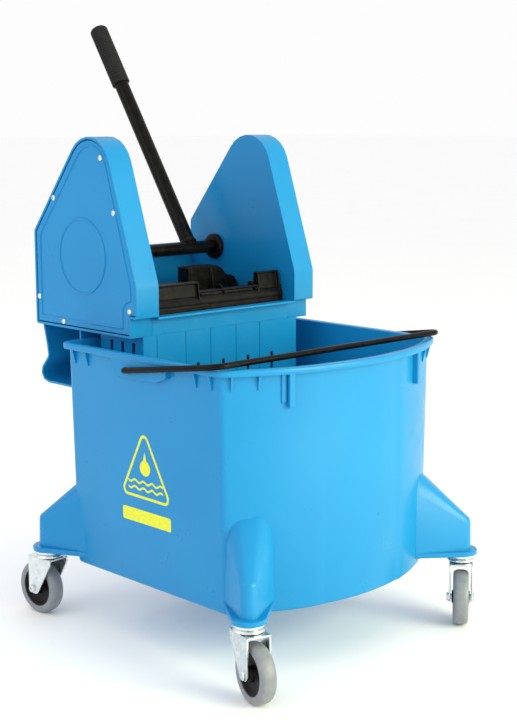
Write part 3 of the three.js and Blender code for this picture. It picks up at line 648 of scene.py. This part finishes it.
def in_groove(face):
    x, y, z = middle_of(face)
    if face.normal.y > -0.9 or z > GROOVE_Z + GROOVE_HALF or x < GROOVE_X[0] - GROOVE_HALF or x > 130:
        return False
    return any(abs(x - spot) < GROOVE_HALF for spot in GROOVE_X) or z > GROOVE_Z - GROOVE_HALF


basket.normal_update()
bmesh.ops.delete(basket, geom=[f for f in basket.faces if in_slot(f)], context="FACES")
raised = [f for f in basket.faces if middle_of(f).z > GROOVE_Z - GROOVE_HALF]
spare = [f for f in raised if f.normal.y > -0.9 or abs(middle_of(f).x) > TOWER_IN]
bmesh.ops.delete(basket, geom=spare, context="FACES")
grooves = bmesh.ops.extrude_face_region(basket, geom=[f for f in basket.faces if in_groove(f)])["geom"]
sunk = verts_of(grooves)
bmesh.ops.translate(basket, verts=sunk, vec=Vector((0, GROOVE_DEEP, 0)) * MM)
basket.normal_update()
doubled = [f for f in basket.faces if f.normal.y > 0.9 and middle_of(f).y < BASKET_FRONT + 0.1]
bmesh.ops.delete(basket, geom=doubled, context="FACES_ONLY")
basket_piece = blue_piece(basket, "wringer_basket", "wringer", angle=40)
basket_wall = basket_piece.modifiers.new("wall", "SOLIDIFY")
basket_wall.thickness = WALL * MM
basket_wall.offset = -1

# ---- ledge, deck, rear wall and skirt ----------------------------------------------
# The rest of the same moulding: a ledge across the front below the plates, a sloping
# deck that drains forward, and a folded skirt that hooks down behind the rear rim.


def cross_piece(name, corners, rounds, half, bevel, inner=None):
    """A length of moulding along X from -half to half, from its outline in Y and Z."""
    form = bmesh.new()
    outline = rounded_outline(corners, rounds, steps=5)
    if inner is None:
        prism(form, outline, lambda u, v: (-half, u, v), (2 * half, 0, 0))
    else:
        inside = rounded_outline(corners, rounds, inner, steps=5)
        rows = ((outline, -half), (outline, half), (inside, half), (inside, -half), (outline, -half))
        skin(form, [[at(x, u, v) for u, v in line] for line, x in rows], capped=False)
    return blue_piece(form, name, "wringer", bevel=bevel, angle=35)


ledge_z = 434.8
cross_piece("front_ledge", [(22.3, ledge_z - 3.8), (39.4, ledge_z - 3.8), (39.4, ledge_z), (22.3, ledge_z)],
            [1.4, 0.6, 0.6, 1.4], TOWER_IN + 1, 0)
cross_piece("rear_wall", [(249, 408.5), (252.4, 408.5), (252.4, 508), (249, 508)],
            [0.6, 0.6, 1.5, 1.5], TOWER_IN + 1, 0)
cross_piece("drain_deck", [(131.4, 407.2), (252.1, 408.2), (252.1, 430), (131.4, 411.6)],
            [0.8] * 4, TOWER_IN + 1, 0)
SKIRT = [
    (160, 321.5), (241, 321.5), (253, 325), (258.5, 334), (256, 344), (240.5, 361), (243, 376),
    (252.4, 412), (160, 412),
]
cross_piece("rear_skirt", SKIRT, [4, 3, 4, 4, 4, 6, 8, 1, 4], 155, 0.6, WALL)
feet = bmesh.new()
for x in (-118, -60, 60, 118):
    low_z = RIM_Z + 0.6
    prism(feet, [(x - 2, 135), (x + 2, 135), (x + 2, 161), (x - 2, 161)],
          lambda u, v: (u, v, low_z), (0, 0, 409 - low_z))
blue_piece(feet, "rim_rests", "wringer", bevel=0.5, angle=30)

# ---- tower covers and their screws -----------------------------------------------------
# A flat moulded cover closes each tower. A raised bead follows its edge and steps
# round the lower front screw, and a round bead marks the shaft's bearing behind it.
COVER_X, COVER_THICK = 160.8, 3.0
SCREWS = [(95, 644.8), (204, 588.2), (69, 573), (243.5, 447.6), (38.1, 444), (186.6, 417)]
BEAD_CORNERS = [
    (52, 419), (240.5, 419), (240.5, 536.8), (104.5, 700.5), (34.5, 476), (34.5, 457.5),
    (44, 455), (51, 447), (52, 438),
]
BEAD_ROUNDS = [2, 3, 8, 36, 22, 1.5, 5, 5, 5]
COVER_RING = (140.9, 511, 51.3)


def bead_loop(form, outer, inner, side, base_x, top_x):
    """A raised bead: a low rounded ridge between an outline and a narrower copy of it."""
    outlines = []
    for across, rise in ((0, 0), (0.12, 0.6), (0.35, 1), (0.65, 1), (0.88, 0.6), (1, 0), (0, 0)):
        x = side * (base_x + (top_x - base_x) * rise)
        outlines.append([
            at(x, u + (p - u) * across, v + (q - v) * across)
            for (u, v), (p, q) in zip(outer, inner)
        ])
    skin(form, outlines, capped=False)


SHADOW_GAP = 1.3
cover_outline = rounded_outline(TOWER_CORNERS, TOWER_ROUNDS, WALL + SHADOW_GAP)
bead_pair = (rounded_outline(BEAD_CORNERS, BEAD_ROUNDS), rounded_outline(BEAD_CORNERS, BEAD_ROUNDS, 3.2))
ring_turns = [2 * math.pi * k / 96 for k in range(96)]
ring_pair = tuple(
    [(COVER_RING[0] + r * math.cos(a), COVER_RING[1] + r * math.sin(a)) for a in ring_turns]
    for r in (COVER_RING[2] + 1.7, COVER_RING[2] - 1.7)
)
for side, side_name in ((-1, "left"), (1, "right")):
    cover = bmesh.new()
    prism(cover, cover_outline, lambda u, v: (side * COVER_X, u, v), (side * COVER_THICK, 0, 0))
    blue_piece(cover, f"cover_panel_{side_name}", "wringer",
                 [f"tower_cover_{side_name}"], bevel=0.6, angle=40)
    beads = bmesh.new()
    face_x = COVER_X + COVER_THICK
    bead_loop(beads, *bead_pair, side, face_x - 0.3, face_x + 1.5)
    bead_loop(beads, *ring_pair, side, face_x - 0.3, face_x + 1.5)
    blue_piece(beads, f"cover_beads_{side_name}", "wringer", angle=60)


def zinc_plate(name):
    """Bright zinc electroplate on steel: silvery, a little cloudy, with soft spangles."""
    material, shader, place = new_material(name)
    cloud = noise(material, place, 9, 4)
    feed(material, tinted(material, cloud, "C9D2D6", "E6EAEA", 0.3, 0.7), shader, "Base Color")
    feed(material, levels(material, cloud, 0.2, 0.36), shader, "Roughness")
    bumped(material, shader, noise(material, place, 3, 2), 0.03, 0.4)
    shader.inputs["Metallic"].default_value = 1.0
    return material


ZINC = zinc_plate("bright_zinc_plate_on_steel")


def zinc_piece(form, name, body, nodes=(), **shape):
    """Finishes a form as bright zinc plated steel; shape is its bevel, segments and angle."""
    return finish_piece(form, name, ZINC, body, "zinc_plated_steel", nodes, **shape)


def lathe(form, profile, centre, axis, segments):
    """A turned body: profile points are (radius, distance along the axis) in millimetres."""
    turned = bmesh.new()
    verts = [turned.verts.new((radius * MM, 0, along * MM)) for radius, along in profile]
    edges = [turned.edges.new(pair) for pair in zip(verts, verts[1:])]
    bmesh.ops.spin(turned, geom=verts + edges, cent=(0, 0, 0), axis=(0, 0, 1),
                   angle=2 * math.pi, steps=segments, use_merge=True)
    bmesh.ops.remove_doubles(turned, verts=turned.verts, dist=1e-7)
    turn = Vector(axis).to_track_quat("Z", "Y").to_matrix().to_4x4()
    bmesh.ops.transform(turned, matrix=Matrix.Translation(centre) @ turn, verts=turned.verts)
    join_form(form, turned)


def join_form(form, other):
    """Adds another bmesh's bodies to a form and frees it."""
    carrier = bpy.data.meshes.new("carrier")
    other.to_mesh(carrier)
    other.free()
    form.from_mesh(carrier)
    bpy.data.meshes.remove(carrier)


SCREW_HEAD = [
    (0, -0.2), (4.2, -0.2), (4.2, 0.5), (3.9, 1.3), (3.2, 2.0), (2.2, 2.35), (1.5, 2.4),
    (1.2, 1.3), (0, 1.0),
]
for side, side_name in ((-1, "left"), (1, "right")):
    for index, (y, z) in enumerate(SCREWS):
        screw = bmesh.new()
        lathe(screw, SCREW_HEAD, at(side * (COVER_X + COVER_THICK), y, z), (side, 0, 0), 20)
        zinc_piece(screw, f"screw_head_{side_name}_{index + 1}", "wringer",
                     [f"cover_screw_{side_name}_{index + 1}"], angle=40)

# ---- cross shaft, bushes and lever --------------------------------------------------
# A black steel shaft turns in two flanged nylon bushes. The lever is a tube welded to
# it, and a ribbed rubber grip is pushed on its end.
SHAFT_R = 9.5
LEVER_X, LEVER_LEAN, LEVER_R, LEVER_LENGTH = 76.5, math.radians(33.4), 11.0, 395.0
GRIP_LENGTH, GRIP_R = 101.0, 14.0


def moulded_black(name, low, high, rough, grain_mm):
    """Black moulded nylon: nearly even, satin, with a little grey where it has rubbed."""
    material, shader, place = new_material(name)
    rub = noise(material, place, 12, 5, 0.6)
    feed(material, tinted(material, rub, low, high, 0.45, 0.8), shader, "Base Color")
    feed(material, levels(material, rub, rough - 0.07, rough + 0.1), shader, "Roughness")
    bumped(material, shader, noise(material, place, grain_mm, 2), 0.08, 0.5)
    shader.inputs["IOR"].default_value = 1.53
    shader.inputs["Specular IOR Level"].default_value = 0.12
    return material


BLACK_NYLON = moulded_black("moulded_black_nylon", "0B0908", "1C1916", 0.34, 1.5)
GRIP_RUBBER = moulded_black("moulded_black_grip_rubber", "1C1C1E", "28282C", 0.62, 1.2)
BLACK_WHEEL = moulded_black("moulded_black_wheel_polypropylene", "0E0D0D", "1E1C1B", 0.4, 1.5)

shaft = bmesh.new()
lathe(shaft, [(0, -127), (SHAFT_R, -127), (SHAFT_R, 127), (0, 127)], at(0, SHAFT_Y, SHAFT_Z), (1, 0, 0), 40)
weld = [
    (LEVER_R - 1, 5), (LEVER_R + 1.6, 7.2), (LEVER_R + 1.9, 9.2), (LEVER_R + 0.8, 12.0),
    (LEVER_R - 1, 14.5), (LEVER_R - 1, 5),
]
lever_axis = (0, math.sin(LEVER_LEAN), math.cos(LEVER_LEAN))
lathe(shaft, weld, at(LEVER_X, SHAFT_Y, SHAFT_Z), lever_axis, 40)
finish_piece(shaft, "shaft_and_weld", BLACK_STEEL, "lever", "black_powder_coated_steel",
             ["cross_shaft"], angle=40)

BUSH_BORE = SHAFT_R + 0.3
BUSH = [
    (BUSH_BORE, 118), (15.5, 118), (17.6, 118.8), (18.8, 120.6), (19, 122.6), (19, 126.3),
    (BUSH_BORE, 126.3),
]
for side, side_name in ((-1, "left"), (1, "right")):
    bush = bmesh.new()
    lathe(bush, BUSH + BUSH[:1], at(0, SHAFT_Y, SHAFT_Z), (side, 0, 0), 48)
    finish_piece(bush, f"flanged_bush_{side_name}", BLACK_NYLON, "wringer", "black_nylon",
                 [f"shaft_bush_{side_name}"], bevel=0.3, angle=40)

tube = bmesh.new()
tube_end = LEVER_LENGTH - GRIP_LENGTH + 8
tube_profile = [(0, 2), (LEVER_R, 2), (LEVER_R, tube_end), (0, tube_end)]
lathe(tube, tube_profile, at(LEVER_X, SHAFT_Y, SHAFT_Z), lever_axis, 48)
finish_piece(tube, "lever_arm", BLACK_STEEL, "lever", "black_powder_coated_steel", ["lever_tube"], angle=40)

grip_start = LEVER_LENGTH - GRIP_LENGTH
GRIP_PITCH, GRIP_RIBS = 4.6, 19
grip_profile = [
    (0, grip_start + 9), (LEVER_R + 0.2, grip_start + 9), (LEVER_R + 0.2, grip_start),
    (GRIP_R - 0.8, grip_start), (GRIP_R, grip_start + 0.8), (GRIP_R, grip_start + 5),
]
for k in range(GRIP_RIBS):
    foot = grip_start + 5 + k * GRIP_PITCH
    grip_profile += [(GRIP_R - 0.9, foot + 0.9), (GRIP_R - 0.9, foot + 1.7)]
    grip_profile += [(GRIP_R, foot + 2.5), (GRIP_R, foot + GRIP_PITCH)]
grip_profile += [(GRIP_R, LEVER_LENGTH - 3)]
for k in range(1, 8):
    turn = math.pi / 2 * k / 7
    grip_profile.append((GRIP_R - 7 + 7 * math.cos(turn), LEVER_LENGTH - 3 + 6 * math.sin(turn)))
grip_profile += [(0, LEVER_LENGTH + 3.4)]
grip = bmesh.new()
lathe(grip, grip_profile, at(LEVER_X, SHAFT_Y, SHAFT_Z), lever_axis, 48)
finish_piece(grip, "ribbed_grip", GRIP_RUBBER, "lever", "black_grip_rubber", ["lever_grip"], angle=50)

# ---- press plates ---------------------------------------------------------------------
# Two black nylon plates hang on steel axles and swing together over the mop head. Lugs
# on their tops, cored into pockets to keep the walls thin, carry the thrust.
FRONT_AXLE_Y, FRONT_AXLE_Z = 56.0, 444.0
REAR_AXLE_Y, REAR_AXLE_Z = 151.96, 446.78
PLATE_HALF = 125.0
PLATE_RIBS = (-96, -72, -48, -24, 0, 24, 48, 72, 96)


POCKET_EDGE, BOSS_R = 3.2, 11.0


def plate_boss(form, y, z):
    """The round boss along a plate's whole length that its axle runs through."""
    profile = [(0, -PLATE_HALF), (BOSS_R, -PLATE_HALF), (BOSS_R, PLATE_HALF), (0, PLATE_HALF)]
    lathe(form, profile, at(0, y, z), (1, 0, 0), 32)


def lug(form, outline, x0, x1, pocket=0.0):
    """A lug from x0 to x1; a pocket of that depth is cored into its front face."""
    block = bmesh.new()
    prism(block, outline, lambda u, v: (x0, u, v), (x1 - x0, 0, 0))
    bmesh.ops.recalc_face_normals(block, faces=block.faces)
    if pocket:
        upright = [f for f in block.faces if abs(f.normal.x) < 0.5 and abs(f.normal.z) < 0.7]
        front = min(upright, key=lambda face: middle_of(face).y)
        bmesh.ops.inset_region(block, faces=[front], thickness=POCKET_EDGE * MM, depth=0.0)
        inward = -front.normal * pocket * MM
        swept = bmesh.ops.extrude_face_region(block, geom=[front])["geom"]
        bmesh.ops.translate(block, verts=verts_of(swept), vec=inward)
        if front.is_valid:
            bmesh.ops.delete(block, geom=[front], context="FACES_ONLY")
    join_form(form, block)


front_plate = bmesh.new()
plate_boss(front_plate, FRONT_AXLE_Y, FRONT_AXLE_Z)
lug(front_plate, [(42, 356), (49.5, 356), (58, 436), (46, 449)], -PLATE_HALF, PLATE_HALF)
for x in PLATE_RIBS:
    lug(front_plate, [(47, 360), (53, 362), (61.5, 434), (56, 436)], x - 2.5, x + 2.5)
lug(front_plate, [(44, 446), (64, 446), (61, 473), (48, 473)], -PLATE_HALF + 0.3, -34, pocket=5)
lug(front_plate, [(45.6, 444), (66, 444), (60, 460), (49, 460)], -34, 80, pocket=3)
lug(front_plate, [(46, 446), (62, 446), (59.5, 478), (51, 478)], 80, 122, pocket=4)
lug(front_plate, [(46, 442), (62, 446), (60, 462), (48, 458)], 120, PLATE_HALF - 0.3)
for x in (-30, 14, 74):
    lug(front_plate, [(46, 455), (66, 446), (64, 464), (58, 466)], x - 1.5, x + 1.5)
lug(front_plate, [(43.4, 438), (47, 438), (48, 442), (43.9, 442)], -PLATE_HALF + 1, -20)
finish_piece(front_plate, "front_plate", BLACK_NYLON, "front_plate", "black_nylon",
             ["front_press_plate"], bevel=0.8, segments=3, angle=30)

rear_plate = bmesh.new()
plate_boss(rear_plate, REAR_AXLE_Y, REAR_AXLE_Z)
lug(rear_plate, [(118, 358), (125, 358), (128, 410), (121, 414)], -PLATE_HALF, PLATE_HALF)
lug(rear_plate, [(120.8, 412), (128, 409), (158, 441), (150, 456)], -PLATE_HALF, PLATE_HALF)
for x in PLATE_RIBS:
    lug(rear_plate, [(114, 362), (120, 360), (124, 412), (117, 414)], x - 2.5, x + 2.5)
lug(rear_plate, [(142, 444), (164, 444), (160, 460), (144, 460)], -PLATE_HALF + 0.3, 26, pocket=3)
shoulder = bmesh.new()
top_line = [
    (25, 480.5), (29, 482), (73, 482), (81, 481.5), (90, 477), (97, 469), (102, 466), (109, 465.6),
    (116, 462), (121, 454), (121, 446), (25, 446),
]
prism(shoulder, top_line, lambda u, v: (u, 139, v), (0, 25, 0))
join_form(rear_plate, shoulder)
lug(rear_plate, [(136.4, 446), (150, 446), (150, 481.6), (138.6, 481.6)], 29, 68, pocket=5)
lug(rear_plate, [(133, 446), (150, 446), (150, 480), (138.4, 480)], 68, 72)
finish_piece(rear_plate, "rear_plate", BLACK_NYLON, "rear_plate", "black_nylon",
             ["rear_press_plate"], bevel=0.8, segments=3, angle=30)

# ---- gears and plate axles --------------------------------------------------------------
# Machined steel, shut inside the towers: the pinions on the shaft turn the rear plate's
# sectors, and those turn the front plate's sectors the other way.
machined, machined_shader, machined_place = new_material("machined_gear_steel")
oil_film = noise(machined, machined_place, 8, 4)
feed(machined, tinted(machined, oil_film, "8F9093", "A9AAAD"), machined_shader, "Base Color")
feed(machined, levels(machined, oil_film, 0.28, 0.45), machined_shader, "Roughness")
machined_shader.inputs["Metallic"].default_value = 1.0
for name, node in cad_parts.items():
    if "gear" in name or "pinion" in name or name.endswith("plate_axle"):
        node.data.materials.clear()
        node.data.materials.append(machined)

# ---- casters ----------------------------------------------------------------------------
# Four 76 mm swivel casters: a zinc plated fork of folded sheet under a ball race, a
# black moulded hub, and a tyre of non-marking grey rubber.
CASTER_TRAIL, WHEEL_R, TREAD_HALF, TYRE_SEAT = 18.0, 38.0, 10.5, 27.0
FORK_GAP_HALF, FORK_SHEET, CROWN_Z = 14.0, 2.6, 83.5


def grey_tyre_rubber():
    """Non-marking rubber: mid grey, satin, a little dusty, with fine road scuffs."""
    material, shader, place = new_material("moulded_grey_tyre_rubber")
    dust = noise(material, place, 10, 6, 0.65)
    feed(material, tinted(material, dust, "74787F", "868A91", 0.3, 0.7), shader, "Base Color")
    feed(material, levels(material, dust, 0.36, 0.55), shader, "Roughness")
    bumped(material, shader, noise(material, place, 2, 3), 0.06, 0.5)
    shader.inputs["IOR"].default_value = 1.52
    return material


TYRE_GREY = grey_tyre_rubber()
RACE = [(6, 86.6), (19, 86.6), (20, 87.4), (20, 89), (19, 90.4), (17, 91.6), (6, 91.6), (6, 86.6)]
STEM = [(0, 92), (18.6, 92), (19.6, 92.8), (19.8, 94), (19.6, 95.4), (0, 95.6)]
KING_PIN = [(0, 76.9), (5.2, 76.9), (6.6, 78), (6.9, 80.9), (5.4, 80.9), (5.4, 92), (0, 92)]
BOLT_HEAD = [(0, 0), (6.1, 0), (6.1, 2.2), (5.2, 3.1), (3.2, 3.2), (2.9, 1.8), (0, 1.6)]
TYRE = [
    (TYRE_SEAT + 0.3, -9.6), (29, -10.2), (33, -TREAD_HALF), (34.6, -10.1), (36.3, -8.6), (37.5, -6.2),
    (WHEEL_R, -3), (WHEEL_R, 3), (37.5, 6.2), (36.3, 8.6), (34.6, 10.1), (33, TREAD_HALF), (29, 10.2),
    (TYRE_SEAT + 0.3, 9.6),
]
HUB = [
    (4.4, -12.4), (8.2, -12.4), (9, -11.6), (10, -6), (12, -5), (21, -5), (23, -6.6), (24.4, -8.8),
    (26.9, -9),
    (26.9, 9), (24.4, 8.8), (23, 6.6), (21, 5), (12, 5), (10, 6), (9, 11.6), (8.2, 12.4), (4.4, 12.4),
]
FORK_LEG = [(-20, 86), (-20, 78), (8.5, 31), (26.5, 31), (26.5, 86)]
FORK_ROUNDS = [0.6, 5, 8, 8, 0.6]
CASTERS = [
    ("front_left", -LEG_X, LEG_FRONT_Y, 254.7), ("front_right", LEG_X, LEG_FRONT_Y, 219.7),
    ("rear_left", -LEG_X, LEG_REAR_Y, 94.7), ("rear_right", LEG_X, LEG_REAR_Y, 78.0),
]
fork_outline = rounded_outline(FORK_LEG, FORK_ROUNDS, steps=6)
for name, post_x, post_y, heading in CASTERS:
    turn = math.radians(heading)
    ahead = Vector((math.cos(turn), math.sin(turn), 0))
    across = Vector((-ahead.y, ahead.x, 0))
    swivel = Vector((post_x, post_y, 0))

    def local(u, w, z):
        """A place by its trail, its distance across the wheel and its height."""
        spot = swivel + ahead * u + across * w
        return (spot.x, spot.y, z)

    stem = bmesh.new()
    for profile in (STEM, KING_PIN):
        lathe(stem, profile, at(post_x, post_y, 0), (0, 0, 1), 40)
    zinc_piece(stem, f"top_race_{name}", "bucket", [f"caster_{name}_stem"], angle=40)
    race = bmesh.new()
    lathe(race, RACE, at(post_x, post_y, 0), (0, 0, 1), 40)
    zinc_piece(race, f"lower_race_{name}", f"{name}_swivel", [f"caster_{name}_race"], angle=40)

    fork = bmesh.new()
    half_width = FORK_GAP_HALF + FORK_SHEET
    for w0 in (-half_width, FORK_GAP_HALF):
        prism(fork, fork_outline, lambda u, v: local(u, w0, v), across * FORK_SHEET)
    crown = [(-20, -half_width), (26.5, -half_width), (26.5, half_width), (-20, half_width)]
    prism(fork, crown, lambda u, v: local(u, v, CROWN_Z), (0, 0, FORK_SHEET))
    zinc_piece(fork, f"fork_{name}", f"{name}_swivel",
                 [f"caster_{name}_fork"], bevel=1.0, segments=3, angle=35)
    bolt = bmesh.new()
    axle_at = at(*local(CASTER_TRAIL, 0, WHEEL_R))
    for way in (-1, 1):
        lathe(bolt, BOLT_HEAD, axle_at + across * way * half_width * MM, across * way, 6 if way > 0 else 32)
    lathe(bolt, [(0, -half_width), (4, -half_width), (4, half_width), (0, half_width)], axle_at, across, 24)
    zinc_piece(bolt, f"axle_bolt_{name}", f"{name}_swivel", [f"caster_{name}_axle"], angle=35)
    hub = bmesh.new()
    lathe(hub, HUB + HUB[:1], axle_at, across, 56)
    finish_piece(hub, f"hub_{name}", BLACK_WHEEL, f"{name}_wheel", "black_wheel_plastic",
                 [f"caster_{name}_hub"], bevel=0.4, angle=40)
    tyre = bmesh.new()
    lathe(tyre, TYRE + TYRE[:1], axle_at, across, 80)
    finish_piece(tyre, f"tyre_{name}", TYRE_GREY, f"{name}_wheel", "grey_tyre_rubber",
                 [f"caster_{name}_tyre"], angle=50)

# ---- printed mark -------------------------------------------------------------------------
# A yellow screen-printed mark on each flat side: a rounded triangle round a drop of
# water over two ripples, with a plain bar below. It is a film of ink on the wall.
ink, ink_shader, ink_place = new_material("screen_printed_yellow_ink")
ink_wear = noise(ink, ink_place, 5, 5, 0.6)
feed(ink, tinted(ink, ink_wear, "C9D21A", "E0E22A", 0.3, 0.6), ink_shader, "Base Color")
ink_shader.inputs["Roughness"].default_value = 0.4
MARK_CORNERS = [(-76, 204.3), (30.6, 205.5), (-22.6, 301)]
MARK_LINE, INK_FILM = 3.6, 0.25


def print_film(form, outline, side, hole=None):
    """A thin film of ink on the side wall, from its outline in Y and Z."""
    rows = ((outline, 0.02), (outline, INK_FILM))
    if hole is not None:
        rows += ((hole, INK_FILM), (hole, 0.02), (outline, 0.02))
    outlines = [[at(side * (wall_half(z) + lift), y, z) for y, z in line] for line, lift in rows]
    skin(form, outlines, capped=hole is None)


def ripple(y0, y1, z, height, thick, waves):
    """The outline of a wavy line from y0 to y1."""
    steps = 12 * waves
    top, low = [], []
    for k in range(steps + 1):
        y = y0 + (y1 - y0) * k / steps
        swell = height * math.sin(2 * math.pi * waves * k / steps)
        top.append((y, z + swell + thick / 2))
        low.append((y, z + swell - thick / 2))
    return low + top[::-1]


def drop(y, z, radius, steps=20):
    """A drop of water: a round belly drawn up to a point."""
    line = []
    for k in range(steps):
        turn = math.pi / 2 + 2 * math.pi * k / steps
        lift = radius * 1.1 if k == 0 else 0
        line.append((y + radius * math.cos(turn), z + radius * math.sin(turn) + lift))
    return line


mark_outer = rounded_outline(MARK_CORNERS, [9, 9, 9])
mark_inner = rounded_outline(MARK_CORNERS, [9, 9, 9], MARK_LINE)
for side, side_name in ((-1, "left"), (1, "right")):
    mark = bmesh.new()
    print_film(mark, mark_outer, side, mark_inner)
    print_film(mark, drop(-22.6, 247, 10.5), side)
    for z in (218, 227):
        print_film(mark, ripple(-58, 13, z, 1.8, 2.8, 4), side)
    print_film(mark, rounded_outline([(-72, 171), (27, 171), (27, 189), (-72, 189)], [2.5] * 4), side)
    finish_piece(mark, f"printed_mark_{side_name}", ink, "bucket", "blue_polypropylene", angle=60)
